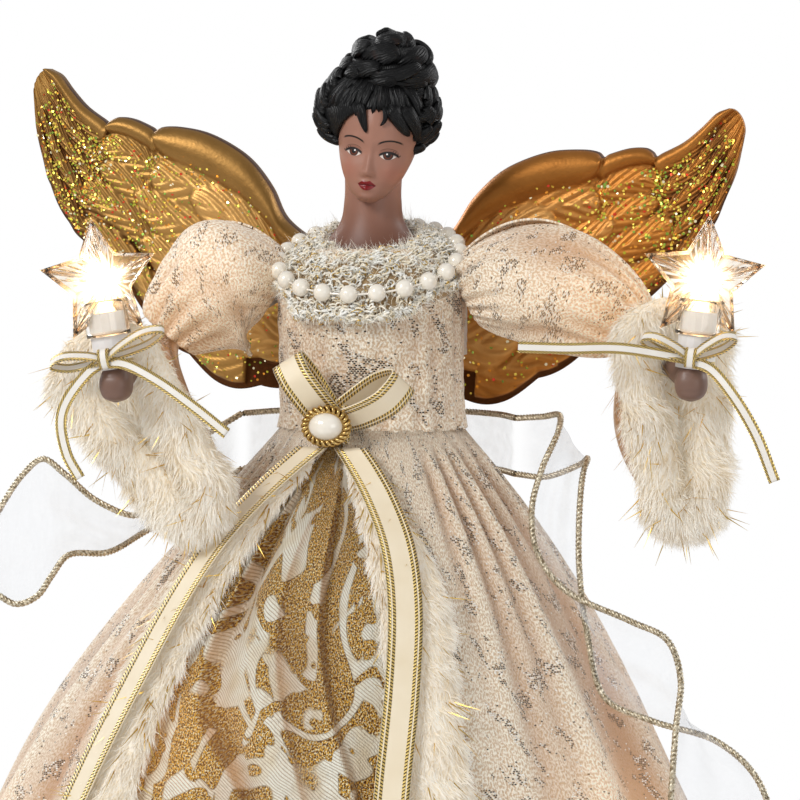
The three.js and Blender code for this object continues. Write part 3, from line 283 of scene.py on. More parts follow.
def through(x, knots, values):
    """Smooth curve through values at the knots: cubic pieces, their slopes taken from the knots beside."""
    knots, values = np.asarray(knots, float), np.asarray(values, float)
    slopes = np.gradient(values, knots, axis=0)
    i = np.clip(np.searchsorted(knots, x) - 1, 0, len(knots) - 2)
    span = knots[i + 1] - knots[i]
    t = (x - knots[i]) / span
    t, span = (q.reshape(q.shape + (1,) * (values.ndim - 1)) for q in (t, span))
    held = (2 * t**3 - 3 * t**2 + 1) * values[i] + (3 * t**2 - 2 * t**3) * values[i + 1]
    return held + span * ((t**3 - 2 * t**2 + t) * slopes[i] + (t**3 - t**2) * slopes[i + 1])


def circle(count):
    """Angles once round, the last one on the first."""
    return np.linspace(0, 2 * np.pi, count)


def grid(rows, columns, closed=False):
    """Faces between neighbouring points of a grid; a closed one joins its last column to its first."""
    i = np.arange(rows - 1)[:, None] * columns
    j = np.arange(columns if closed else columns - 1)[None, :]
    k = (j + 1) % columns
    return np.stack([i + j, i + k, i + columns + k, i + columns + j], -1).reshape(-1, 4)


def patch(points, *uv):
    """A grid of points as a part: it, its faces and its UV if it has one."""
    return points, grid(*points.shape[:2]), *uv


def joined(*parts):
    """Several (points, faces) or (points, faces, uv) parts as one."""
    starts = np.cumsum([0] + [part[0].size // 3 for part in parts[:-1]])
    points = np.concatenate([part[0].reshape(-1, 3) for part in parts])
    faces = np.concatenate([part[1] + start for part, start in zip(parts, starts)])
    if len(parts[0]) < 3:
        return points, faces
    return points, faces, np.concatenate([part[2].reshape(-1, 2) for part in parts])


def mesh_piece(name, material, points, faces, uv=None, inside=None, weld=True, **values):
    """A mesh from points in millimetres, faces turned away from the inside point, doubled points welded."""
    points = np.asarray(points, float).reshape(-1, 3)
    if inside is not None:
        a, b, c = (points[faces[:, k]] for k in range(3))
        outward = points[faces].mean(1) - inside
        if np.sum(np.cross(b - a, c - a) * outward) < 0:
            faces = faces[:, ::-1]
    mesh = bpy.data.meshes.new(name)
    mesh.vertices.add(len(points))
    mesh.vertices.foreach_set("co", (points * MM).ravel())
    mesh.loops.add(faces.size)
    mesh.loops.foreach_set("vertex_index", np.ascontiguousarray(faces).ravel())
    mesh.polygons.add(len(faces))
    mesh.polygons.foreach_set("loop_start", np.arange(0, faces.size, faces.shape[1]))
    mesh.update(calc_edges=True)
    if uv is not None:
        corner_uv = np.asarray(uv, float).reshape(-1, 2)[faces.ravel()]
        mesh.uv_layers.new(name="UVMap").data.foreach_set("uv", corner_uv.ravel())
    for key, value in values.items():
        mesh.attributes.new(key, "FLOAT", "POINT").data.foreach_set("value", np.ravel(value))
    if weld:
        build = bmesh.new()
        build.from_mesh(mesh)
        bmesh.ops.remove_doubles(build, verts=build.verts, dist=WELD_REACH)
        build.to_mesh(mesh)
        build.free()
    mesh.polygons.foreach_set("use_smooth", np.ones(len(mesh.polygons), bool))
    mesh.materials.append(material)
    obj = bpy.data.objects.new(name, mesh)
    scene.collection.objects.link(obj)
    return obj


def placed(obj, body, slot, *nodes):
    """Fixes a piece to its body and hides the CAD nodes that it stands for; slot, the name of its finish, is
    not used.
    """
    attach(obj, body)
    if nodes:
        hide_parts(*nodes)


def turned(points, x_turn, y_turn, z_turn):
    """Points turned about X, then Y, then Z."""
    x, y, z = np.moveaxis(points, -1, 0)
    y, z = y * np.cos(x_turn) - z * np.sin(x_turn), y * np.sin(x_turn) + z * np.cos(x_turn)
    x, z = x * np.cos(y_turn) + z * np.sin(y_turn), z * np.cos(y_turn) - x * np.sin(y_turn)
    x, y = x * np.cos(z_turn) - y * np.sin(z_turn), x * np.sin(z_turn) + y * np.cos(z_turn)
    return np.stack([x, y, z], -1)


def on_head(points):
    """Points of the head's own frame, chin at the origin and face towards -Y, where the head is."""
    return turned(points, HEAD_NOD, HEAD_ROLL, HEAD_TURN) + CHIN


def swell(x, z, at_x, at_z, wide, high):
    """A smooth hump of height 1 round a place on the face."""
    return np.exp(-(((x - at_x) / wide) ** 2) - ((z - at_z) / high) ** 2)


def face_relief(x, z):
    """How far the face stands forward of the plain oval: nose, lips, eyes, brows, cheeks and chin."""
    over_tip = z - NOSE_HEIGHT
    bridge = np.interp(over_tip, [-1.4, -0.5, 0.4, 2.6, 5.6, 8.5], [0, 1.5, 2.1, 1.1, 0.55, 0.1])
    relief = bridge * np.exp(-((x / np.interp(over_tip, [-1, 1, 5], [1.35, 1.1, 0.85])) ** 2))
    for side in (-1, 1):
        eye = side * EYE_ASIDE
        relief += 0.45 * swell(x, over_tip, side * 1.3, -0.1, 0.7, 0.7)
        relief -= 0.85 * swell(x, z, eye, EYE_HEIGHT + 0.6, 2.9, 2.0)
        relief += 0.6 * swell(x, z, eye, EYE_HEIGHT, 2.0, 1.2)
        relief += 0.3 * swell(x, z, eye, EYE_HEIGHT + 3.9, 3.0, 1.2)
        relief += 0.45 * swell(x, z, side * 5.8, NOSE_HEIGHT, 2.6, 3.0)
    relief += 0.55 * swell(x, z, 0, MOUTH_HEIGHT + 0.75, 1.8, 0.6)
    relief += 0.65 * swell(x, z, 0, MOUTH_HEIGHT - 0.75, 1.4, 0.7)
    relief -= 0.3 * swell(x, z, 0, MOUTH_HEIGHT, 2.2, 0.25)
    relief -= 0.35 * swell(x, z, 0, MOUTH_HEIGHT - 2.2, 1.7, 0.6)
    return relief + 0.5 * swell(x, z, 0, 1.5, 2.2, 1.4)


level = np.concatenate([[0.0], np.linspace(0, 1, 130), [1.0]])[:, None]
around = circle(201)[None, :]
tip = np.ones_like(level)
tip[[0, -1]] = 0
front, back, width = (
    HEAD_HALF_WIDTH * through(level, HEAD_LEVELS, share) for share in (HEAD_FRONTS, HEAD_BACKS, HEAD_WIDTHS)
)
x = tip * width * np.sin(around)
z = HEAD_HEIGHT * level + 0 * around
y = (back - front) / 2 - tip * (front + back) / 2 * np.cos(around)
y = y - face_relief(x, z) * smoothstep(np.cos(around), 0.0, 0.5)
head = on_head(np.stack([x, y, z], -1))
at_back = np.where(np.cos(around) > -0.2, 0, 1)
head_uv = np.stack([x + BACK_SHIFT * at_back, z], -1) * PAINT_SCALE

rise = np.concatenate([np.linspace(0, 1, 70), [1.0]])[:, None]
neck_z = lerp(NECK_HEIGHTS[0], NECK_HEIGHTS[-1], rise)
lean = np.clip((neck_z - NECK_HEIGHTS[2]) / (NECK_HEIGHTS[-2] - NECK_HEIGHTS[2]), 0, 1)
neck_wide, neck_deep = (through(neck_z, NECK_HEIGHTS, sizes) for sizes in (NECK_WIDTHS, NECK_DEPTHS))
turn = circle(97)[None, :]
neck = np.stack(
    [
        CHIN[0] * lean + neck_wide * np.sin(turn),
        CHIN[1] * 0.4 * lean - neck_deep * np.cos(turn),
        neck_z + 0 * turn,
    ],
    -1,
)
neck_uv = np.full(neck.shape[:2] + (2,), -1.0)


def own_uv(where):
    """The piece's own UV map."""
    return where.node("ShaderNodeUVMap", {"uv_map": "UVMap"})


skin, sockets, where = finish("painted_skin", Coat_Weight=0.12, Coat_Roughness=0.35, Specular_IOR_Level=0.35)
paint = own_uv(where)
across = paint.axis(0) / PAINT_SCALE
height = paint.axis(1) / PAINT_SCALE
mirrored = abs(across)
aside = mirrored - EYE_ASIDE
up = height - EYE_HEIGHT


def ring(x, z):
    """Distance from the origin."""
    return (x * x + z * z).maths("SQRT")


tone = where.noise(90.0)
blush = 1 - ring(mirrored - 6.2, height - NOSE_HEIGHT).above(2.6, 3.6)
# Below the chin the neck turns darker: partly the paint's own deeper brown, partly painted shade under the
# chin and the collar.
neck_tone_and_shade = where.axis(2).above(THROAT_Z, 0.02)
colour = mixed(tone, srgb(152, 108, 90), srgb(166, 120, 102))
colour = mixed(blush * 0.35, colour, srgb(178, 106, 86))
colour = mixed(neck_tone_and_shade, srgb(92, 56, 40), colour)
upper_lid = LID_RISE - aside * aside * LID_BEND
lower_lid = aside * aside * LOWER_BEND - LOWER_DROP
under_lid = upper_lid - up
opening = under_lid.above(0, 0.1) * (up - lower_lid).above(0, 0.1)
# Painted shade: the lid is darkened between its line and the crease.
lid_shade = (1 - abs(under_lid + 0.5).above(0.45, 0.3)) * (1 - abs(aside).above(2.3, 0.8))
colour = mixed(lid_shade * 0.45, colour, srgb(112, 66, 50))
# Painted shadow: the eye's white darkens towards the upper lid.
eye_white = mixed(under_lid.above(0.4, 0.7), srgb(140, 114, 102), srgb(226, 214, 204))
colour = mixed(opening, colour, eye_white)
iris = ring(aside, up - 0.02)
iris_colour = mixed(iris.above(1.05, 0.3), srgb(92, 44, 22), srgb(36, 16, 11))
colour = mixed(opening * (1 - iris.above(IRIS_RADIUS, 0.12)), colour, iris_colour)
colour = mixed(opening * (1 - iris.above(PUPIL_RADIUS, 0.16)), colour, srgb(12, 8, 8))
upper_line = (1 - abs(under_lid).above(0.34, 0.1)) * (1 - abs(aside - 0.15).above(2.45, 0.3))
lower_line = (1 - abs(up - lower_lid).above(0.05, 0.1)) * (1 - aside.above(2.4, 0.3))
lower_line = lower_line * aside.above(0.4, 1.2)
crease = (1 - abs(under_lid + 1.05).above(0.07, 0.1)) * (1 - abs(aside - 0.1).above(2.1, 0.6))
lashes = (aside * 1.7 + under_lid * 0.8).zigzag().above(0.36, 0.16) * aside.above(0.9, 0.4)
lashes = lashes * (1 - aside.above(3.0, 0.3)) * (1 - abs(under_lid + 0.35).above(0.4, 0.2))
brow_line = ring(aside - 0.5, up + 1.3) - BROW_RADIUS
brow = (1 - abs(brow_line).above(BROW_HALF, 0.12)) * (1 - abs(aside - 0.3).above(BROW_REACH, 0.7))
brow = brow * up.above(2.0, 0.4)
dark = upper_line.maths("MAXIMUM", lower_line * 0.6).maths("MAXIMUM", crease * 0.75)
dark = dark.maths("MAXIMUM", lashes * 0.9).maths("MAXIMUM", brow)
colour = mixed(dark, colour, srgb(26, 15, 11))
# Painted highlight: a small white dot on each eye, for a reflection of the light.
painted_glint = 1 - ring(aside + 0.3, up - 0.28).above(GLINT_RADIUS, 0.12)
colour = mixed(painted_glint, colour, srgb(250, 248, 244))
lip_up = height - MOUTH_HEIGHT
cupid = abs(mirrored - 0.85) * -0.42 + LIP_HEIGHT - mirrored * mirrored * 0.1
lower_lip = LIP_HEIGHT - mirrored * mirrored * 0.24
lips = (1 - (lip_up - cupid).above(0, 0.15)) * (lip_up + lower_lip).above(0, 0.15)
lips = lips * (1 - mirrored.above(LIP_REACH, 0.2))
parting = 1 - abs(lip_up - 0.1 + mirrored * 0.05).above(0.1, 0.12)
colour = mixed(lips, colour, mixed(parting, srgb(122, 20, 25), srgb(64, 8, 10)))
feed(sockets["Base Color"], colour)
feed(sockets["Roughness"], where.noise(300.0) * 0.12 + 0.42 - lips * 0.22)
feed(sockets["Normal"], where.noise(1500.0).bump(0.00002))
bust = mesh_piece("bust", skin, *joined(patch(head, head_uv), patch(neck, neck_uv)), inside=CHIN + [0, 3, 0])
placed(bust, "figure", "skin", "head_and_shoulders")


# Hair: the moulded updo.
# Part of the same casting, painted black: swept up from the face, with stacked curls at the sides.
# Each mass is an oval ball, given by its middle and its three half sizes, with locks laid over it.
HAIR = np.array([(-1.3, 2.6, 22.5), (14.6, 13.4, 11.6)])
BUN = np.array([(0.2, 3.4, 33.4), (11.8, 10.4, 6.0)])
TOP = np.array([(0.5, 3.6, 37.6), (9.2, 8.6, 4.6)])
CROWN = np.array([(0.9, 3.0, 40.8), (5.0, 5.4, 3.4)])
FACE_WINDOW, FACE_WINDOW_Z, FACE_WINDOW_Y = (10.8, 12.3), 12.0, -2.0
HAIR_SEED = 11
LOCK_STEPS, LOCK_SIDES = 18, 18
STRANDS_PER_MM = 1.5
SLANT = np.array([0.13, 0.31, 0.94])
FRINGE = [
    ([(-7.6, -7.4, 26.2), (-8.5, -7.5, 24.2), (-8.9, -7.9, 22.2), (-8.0, -8.5, 20.3)], 0.8),
    ([(-4.6, -9.8, 26.4), (-3.6, -10.9, 24.0), (-2.6, -11.6, 21.4), (-1.4, -11.9, 18.5)], 1.6),
    ([(-6.2, -9.0, 26.2), (-5.4, -9.9, 24.6), (-4.9, -10.4, 23.4), (-4.9, -10.6, 22.4)], 0.9),
    ([(2.2, -10.4, 26.2), (3.0, -11.3, 24.2), (3.0, -11.7, 22.3), (2.0, -11.9, 20.8)], 0.8),
    ([(3.2, -10.0, 26.6), (5.4, -10.2, 23.8), (7.6, -8.9, 20.8), (9.3, -6.7, 18.4)], 2.1),
    ([(6.5, -8.8, 26.4), (9.2, -7.6, 23.4), (10.8, -5.6, 20.2), (11.4, -3.8, 17.0)], 2.3),
    ([(-8.6, -7.2, 26.4), (-10.8, -5.6, 23.4), (-11.9, -3.9, 20.0), (-12.0, -2.8, 16.0)], 1.8),
]


def sweep(paths, radius, sides):
    """Round tubes along many paths at once, each section square to its path."""
    ahead = unit(np.gradient(paths, axis=-2))
    side = unit(np.cross(ahead, SLANT))
    up = np.cross(side, ahead)
    angle = np.linspace(0, 2 * np.pi, sides, endpoint=False)[:, None]
    section = side[..., None, :] * np.cos(angle) + up[..., None, :] * np.sin(angle)
    points = paths[..., None, :] + radius * section
    return points.reshape(-1, 3), many_grids(points)


def many_grids(points):
    """Faces of many closed tubes, given as tube x step x place round it."""
    steps, sides = points.shape[-3:-1]
    starts = np.arange(points.size // (3 * steps * sides)) * steps * sides
    return (grid(steps, sides, True)[None] + starts[:, None, None]).reshape(-1, 4)


def on_oval(oval, turn, rise, lift=0.0):
    """Points over an oval ball: turn counts from the face to the angel's left, rise from the middle."""
    turn, rise, lift = np.broadcast_arrays(turn, rise, lift)
    way = np.stack([np.sin(turn) * np.cos(rise), -np.cos(turn) * np.cos(rise), np.sin(rise)], -1)
    return oval[0] + way * (oval[1] + lift[..., None])


def locks(paths, normals, wide, thick, taper):
    """Flattened locks along many paths, oval in section; their UV runs across and along the strands."""
    angle = np.linspace(0, 2 * np.pi, LOCK_SIDES, endpoint=False)
    number = np.arange(len(paths))[:, None, None]
    s = np.linspace(0, 1, paths.shape[1])[None, :, None]
    strand = np.cos(4 * angle + 2.4 * number + 1.5 * np.sin(3 * s + number))
    strand = strand * np.clip(np.sin(angle), 0, 1)
    reach = taper[None, :, None] * (1 + 0.1 * strand)
    side = unit(np.cross(np.gradient(paths, axis=1), normals))
    flat = side[:, :, None, :] * (wide[:, None, None] * reach * np.cos(angle))[..., None]
    high = normals[:, :, None, :] * (thick[:, None, None] * reach * np.sin(angle))[..., None]
    points = paths[:, :, None, :] + flat + high
    uv = np.stack(np.broadcast_arrays(7 * number + wide[:, None, None] * np.cos(angle), 10 * s), -1)
    return points.reshape(-1, 3), many_grids(points), uv


def swept(oval, start, end, lift, wide, thick):
    """Blunt locks over an oval ball between (turn, rise) places.

    The three numbers of lift are how far they arch upwards, their height off the ball and what the ends add.
    """
    arch, low, high = lift
    s = np.linspace(0, 1, LOCK_STEPS)
    jitter = rng.normal(0, 1, (len(start), 4))
    start = start + 0.05 * jitter[:, :2]
    end = end + 0.08 * jitter[:, 2:]
    turn = lerp(start[:, :1], end[:, :1], s)
    rise = lerp(start[:, 1:], end[:, 1:], s) + arch * np.sin(np.pi * s)
    paths = on_oval(oval, turn, rise, low + high * s**2 + 0.25 * jitter[:, :1])
    blunt = np.sqrt(np.clip(1 - np.abs(2 * s - 1) ** 3.2, 0, 1))
    size = 1 + 0.12 * jitter[:, 1]
    return locks(paths, unit((paths - oval[0]) / oval[1] ** 2), wide * size, thick * size, blunt)


def places(turns, rises):
    """Every pair of a turn and a rise, every second row shifted half a step, as tiles are laid."""
    shift = (turns[1] - turns[0]) / 2
    return np.array([(turn + (k % 2) * shift, rise) for k, rise in enumerate(rises) for turn in turns])


def ball(oval):
    """The whole oval ball as a part."""
    turn = circle(121)[None, :]
    rise = np.linspace(-np.pi / 2, np.pi / 2, 61)[:, None]
    uv = np.stack(np.broadcast_arrays(14 * turn, 12 * rise), -1)
    return patch(on_oval(oval, turn, rise), uv)


rng = np.random.default_rng(HAIR_SEED)
mass, mass_faces, mass_uv = ball(HAIR)
to_edge = np.hypot(mass[..., 0] / FACE_WINDOW[0], (mass[..., 2] - FACE_WINDOW_Z) / FACE_WINDOW[1])
in_window = (1 - smoothstep(to_edge, 0.9, 1.04)) * (mass[..., 1] < FACE_WINDOW_Y)
mass[..., 1] = lerp(mass[..., 1], FACE_WINDOW_Y, in_window)
fringe_s = np.linspace(0, 1, LOCK_STEPS)
fringe_paths = np.stack([through(fringe_s, np.linspace(0, 1, 4), line) for line, _ in FRINGE])
fringe_wide = np.array([wide for _, wide in FRINGE])
pointed = np.sqrt(np.clip(1 - fringe_s**1.6, 0, 1)) * np.minimum(1, 6 * fringe_s)
hair_parts = [
    (mass, mass_faces, mass_uv),
    *[ball(oval) for oval in (BUN, TOP, CROWN)],
    locks(fringe_paths, unit(fringe_paths - HAIR[0]), fringe_wide, 0.55 * fringe_wide + 0.2, pointed),
]
front = places(np.linspace(-1.2, 1.15, 24), [0.12, 0.5])
curls_left = places(np.linspace(1.0, 2.5, 6), np.linspace(-0.75, 0.8, 8))
curls_right = curls_left * [-1, 1]
nape = places(np.linspace(2.7, 3.6, 4), np.linspace(-0.7, 0.8, 5))
lower_bands = places(np.linspace(0, 2 * np.pi, 8, endpoint=False), [-0.6, -0.1])
upper_bands = places(np.linspace(0.3, 2 * np.pi + 0.3, 6, endpoint=False), [-0.55])
crown = np.array([(-1.2, -0.2), (0.9, -0.1), (2.9, 0.0)])
hair_parts += [
    swept(HAIR, front, front * [0.66, 1] + [0, 0.95], (0.12, -0.1, 0.5), 1.05, 0.85),
    swept(HAIR, curls_right, curls_right + [-0.26, 0.34], (-0.14, -0.2, 2.1), 1.75, 1.55),
    swept(HAIR, curls_left, curls_left + [0.26, 0.34], (-0.14, -0.2, 2.1), 1.75, 1.55),
    swept(HAIR, nape, nape + [0.1, 0.4], (0.0, 0.0, 0.9), 2.2, 1.4),
    swept(BUN, lower_bands, lower_bands + [1.2, 0.55], (-0.12, -0.1, 1.1), 2.1, 1.1),
    swept(TOP, upper_bands, upper_bands + [1.2, 1.15], (0.1, 0.0, 0.7), 3.0, 1.5),
    swept(CROWN, crown, crown + [1.9, 0.9], (0.1, -0.2, 0.5), 2.2, 1.2),
]
points, faces, uv = joined(*hair_parts)
hair_paint, sockets, where = finish(
    "hair_paint", Specular_IOR_Level=0.26, Coat_Weight=0.03, Coat_Roughness=0.25
)
worn = where.noise(240.0, 4.0).above(0.68, 0.12)
across = own_uv(where).axis(0)
strand = (across * STRANDS_PER_MM + where.noise(260.0) * 2.5).zigzag()
feed(sockets["Base Color"], mixed(worn * 0.7, srgb(6, 6, 7), srgb(46, 27, 19)))
feed(sockets["Roughness"], where.noise(420.0) * 0.2 + 0.34)
feed(sockets["Normal"], (strand + where.noise(1200.0) * 0.3).bump(0.00022))
hair = mesh_piece("updo", hair_paint, on_head(points), faces, uv)
placed(hair, "figure", "hair", "hair")


# Bodice.
# Ivory brocade with metallic flecks, wrapped round the torso form and sewn to the skirt at the waist.
WAIST_Z = 198.0
BODICE_HEIGHTS = [198.6, 215, 228, 237, 243, 246.5]
BODICE_WIDTHS = [24.6, 24.6, 24.85, 24.6, 21.65, 17.2]
BODICE_DEPTHS = [19.8, 20.4, 21.6, 19.6, 17.2, 14.5]
BODICE_SEED, BODICE_GATHERS, BODICE_CLOTH = 3, 30, 23
CLOTH_THICKNESS = 0.0006
FLECK_WIDE, FLECK_HIGH = 0.8, 0.5
GLOW_STRENGTH = 0.42
GLOW_COLOUR = (1.0, 0.54, 0.2, 1)


def ripple(u, v, waves, seed):
    """Soft random creases between about -1 and 1: a sum of sines with random directions."""
    chance = np.random.default_rng(seed)
    total = 0
    for _ in range(waves):
        way = chance.normal(size=2)
        total = total + np.sin(way[0] * u + way[1] * v + chance.uniform(0, 2 * np.pi))
    return total / waves**0.5


def lay_flat(points):
    """Flat area in square metres of a grid of points in millimetres."""
    a, b, c, d = points[:-1, :-1], points[:-1, 1:], points[1:, 1:], points[1:, :-1]
    return 0.5 * np.linalg.norm(np.cross(c - a, d - b), axis=-1).sum() * MM * MM


def thicken(obj, thickness, offset):
    """A wall in metres: inwards at offset -1, to both sides alike at 0."""
    wall = obj.modifiers.new("thickness", "SOLIDIFY")
    wall.thickness = thickness
    wall.offset = offset


def cloth_piece(name, points, material, uv, inside, **values):
    """A sheet of cloth from a grid of points, with its thickness on the inner side."""
    obj = mesh_piece(name, material, *patch(points, uv), inside=inside, **values)
    thicken(obj, CLOTH_THICKNESS, -1)
    return obj


def attribute(where, name):
    """A number kept on the mesh's points."""
    return where.node("ShaderNodeAttribute", {"attribute_name": name}, {}, 2)


def within(value, half, soft):
    """1 where the value is nearer to 0 than half."""
    return 1 - abs(value).above(half, soft)


def combined(x, y):
    """A vector from two values."""
    return x.node("ShaderNodeCombineXYZ", {}, {0: x, 1: y})


brocade, sockets, where = finish(
    "brocade", Sheen_Weight=0.2, Sheen_Roughness=0.4, Emission_Strength=GLOW_STRENGTH
)
cloth = own_uv(where)
u, v = cloth.axis(0), cloth.axis(1)
crepe_grain_and_glint = combined(u * 1.25, v * 0.8).noise(1.5, 3.0)
row = (v / FLECK_HIGH).maths("FLOOR")
in_row = u / FLECK_WIDE + (row * 0.5).maths("FRACT")
cell = combined(in_row.maths("FLOOR"), row)
chance = cell.node("ShaderNodeTexWhiteNoise", {"noise_dimensions": "2D"}, {"Vector": cell}, 0)
kind = cell.node("ShaderNodeTexWhiteNoise", {"noise_dimensions": "2D"}, {"Vector": cell}, 1).axis(1)
dash = within(in_row.maths("FRACT") - 0.5, 0.36, 0.12)
dash = dash * within((v / FLECK_HIGH).maths("FRACT") - 0.5, 0.34, 0.12)
leaves = combined(u + v * 0.7, (v - u * 0.7) * 0.5).noise(0.17, 1.5).above(0.575, 0.07)
fleck = chance.maths("LESS_THAN", leaves * 0.72 + 0.018) * dash
deep = attribute(where, "deep")
ground = mixed(cloth.noise(0.06), srgb(222, 196, 164), srgb(208, 178, 144))
# The crepe grain is painted near white where it rises: partly the crepe's own grain, partly painted
# highlights on its crinkles.
ground = mixed(crepe_grain_and_glint.above(0.5, 0.13), ground, srgb(255, 246, 228))
# Painted shade: as the deep value rises, in the valleys of folds and gathers, the ground turns peach-brown.
ground = mixed(deep * 0.9, ground, srgb(188, 136, 94))
metal = mixed(kind.above(0.55, 0.02), srgb(48, 34, 22), srgb(140, 106, 62))
metal = mixed(kind.above(0.66, 0.02), metal, srgb(255, 252, 246))
feed(sockets["Base Color"], mixed(fleck, ground, metal))
feed(sockets["Roughness"], crepe_grain_and_glint * 0.25 + 0.4 - fleck * 0.2)
feed(sockets["Metallic"], fleck * 0.4 + 0.05)
feed(sockets["Normal"], (crepe_grain_and_glint + fleck * 0.3).bump(0.0006))
# Painted light: the cloth glows warm by its glow value, for the lamps' and the stars' light shining through
# and onto it.
feed(sockets["Emission Color"], mixed(attribute(where, "glow"), BLACK, GLOW_COLOUR))

rise = np.linspace(0, 1, 90)[:, None]
turn = np.linspace(np.pi, 3 * np.pi, 181)[None, :]
z = lerp(BODICE_HEIGHTS[0], BODICE_HEIGHTS[-1], rise)
above_waist = z - WAIST_Z
crease = 0.35 * ripple(turn * 9, z * 0.25, 5, BODICE_SEED)
crease = crease + 0.3 * np.cos(BODICE_GATHERS * turn) * np.exp(-above_waist / 5)
crease = crease + 0.8 * np.exp(-above_waist / 2.2)
wide = through(z, BODICE_HEIGHTS, BODICE_WIDTHS) + crease
depth = through(z, BODICE_HEIGHTS, BODICE_DEPTHS) + crease
bodice_points = np.stack([wide * np.sin(turn), -depth * np.cos(turn), z + 0 * turn], -1)
bodice_uv = np.stack([turn * BODICE_CLOTH + 0 * z, z + 0 * turn], -1)
# Its deep value paints shade into the bodice's dips and gathers.
bodice = cloth_piece(
    "bodice_cloth", bodice_points, brocade, bodice_uv, inside=(0, 0, 220),
    glow=0 * crease, deep=np.clip(0.1 - 0.5 * crease, 0, 1),
)
placed(bodice, "figure", "brocade", "bodice")
bodice_area = lay_flat(bodice_points)


# Overskirt.
# The same brocade, gathered into the waist seam and open in front; lamps inside shine through it.
WAIST_RADIUS, HEM_RADIUS = 26.0, 122.0
DEPTH_RATIO, FLARE, SKIRT_SWAY = 0.86, 1.9, 8.0
OPEN_SKEW, OPEN_ANGLE = np.radians([9, 23])
FOLD_DEPTH, FOLD_COUNT = 7.0, 12
GATHER_DEPTH, GATHER_COUNT = 4.2, 34
GATHER_REACH, SEAM_TUCK = 62.0, 1.2
FOLD_FADE, GATHER_FADE = np.radians([34, 58]), np.radians([26, 44])
SKIRT_SEED, SKIRT_CLOTH, SKIRT_CLOTH_STRETCH = 5, 88, 1.15
LAMP_FIRST_TURN, LAMP_TURN = np.radians([22.5, 135])
LAMP_FIRST_Z, LAMP_RISE = 62.0, 12.0
LAMP_SPREAD, LAMP_SHARE, LAMP_INSET = 24.0, 0.5, 4.0


def drop(z):
    """Share of the way down from the waist to the hem."""
    return (WAIST_Z - z) / WAIST_Z


def skirt_radius(z):
    """The bell's half width: wide soon under the waist, then ever steeper."""
    return lerp(WAIST_RADIUS, HEM_RADIUS, 1 - (1 - drop(z)) ** FLARE)


def skirt_point(angle, z, offset):
    """A point on the bell: angle from the front towards the angel's left, offset outwards."""
    reach = skirt_radius(z) + offset
    sway = -SKIRT_SWAY * np.sin(np.pi * drop(z)) ** 2
    forward = DEPTH_RATIO * reach * np.cos(angle)
    return np.stack([sway + reach * np.sin(angle), -forward, z + 0 * angle], -1)


def open_centre(z):
    """Angle of the opening's middle, which leans to the angel's right near the waist."""
    return -OPEN_SKEW * np.maximum(0, 1 - 2 * drop(z))


def open_angle(z):
    """Half angle of the opening, which widens quickly below the waist."""
    return OPEN_ANGLE * (1 - (1 - drop(z)) ** 12)


def fold_depth(angle, z):
    """How far the folds fall in: long folds at the sides and back, fine gathers under the waist."""
    fade = smoothstep(np.abs(angle), *FOLD_FADE)
    uneven = 0.75 + 0.25 * np.cos(3 * angle + 0.6)
    long_fold = 0.5 - 0.5 * np.cos(FOLD_COUNT * angle)
    gather = 0.5 - 0.5 * np.cos(GATHER_COUNT * angle + 1.5 * np.sin(7 * angle))
    near_waist = np.exp(-((WAIST_Z - z) / GATHER_REACH)) * smoothstep(WAIST_Z - z, -2, 14)
    gather = gather * smoothstep(np.abs(angle), *GATHER_FADE)
    long_fold = FOLD_DEPTH * fade * uneven * long_fold * np.minimum(1, 2.2 * drop(z))
    return long_fold + GATHER_DEPTH * gather * near_waist


def lamp_glow(points):
    """How strongly the lamps inside light each point of the skirt, from 0 to 1: light painted into the cloth
    as its glow.
    """
    k = np.arange(LAMP_COUNT)
    height = LAMP_FIRST_Z + LAMP_RISE * k
    spots = skirt_point(LAMP_FIRST_TURN + LAMP_TURN * k, height, -LAMP_INSET)
    away = np.linalg.norm(points[..., None, :] - spots, axis=-1)
    return LAMP_SHARE * np.clip(np.exp(-((away / LAMP_SPREAD) ** 2)).sum(-1), 0, 1)


z = lerp(WAIST_Z + SEAM_TUCK, 0.0, np.linspace(0, 1, 110) ** 0.9)[:, None]
edge = open_angle(z) + np.radians(1)
angle = open_centre(z) + lerp(edge, 2 * np.pi - edge, np.linspace(0, 1, 321)[None, :])
signed = np.where(angle > np.pi, angle - 2 * np.pi, angle)
wave = 0.8 * ripple(signed * 12, z * 0.03, 6, SKIRT_SEED) * np.minimum(1, 3 * drop(z))
folds = fold_depth(signed, z) + np.clip(0.8 + wave, 0, 3)
overskirt_points = skirt_point(angle, z, -folds)
overskirt_uv = np.stack([angle * SKIRT_CLOTH, z * SKIRT_CLOTH_STRETCH + 0 * angle], -1)
# Its deep value paints shade into the folds' valleys, and its glow paints the lamps' light shining through.
overskirt = cloth_piece(
    "overskirt_cloth", overskirt_points, brocade, overskirt_uv, inside=(0, 0, 90),
    glow=lamp_glow(overskirt_points), deep=np.clip((folds - 1.2) / 4.5, 0, 1),
)
placed(overskirt, "figure", "brocade", "overskirt")
skirt_area = lay_flat(overskirt_points)


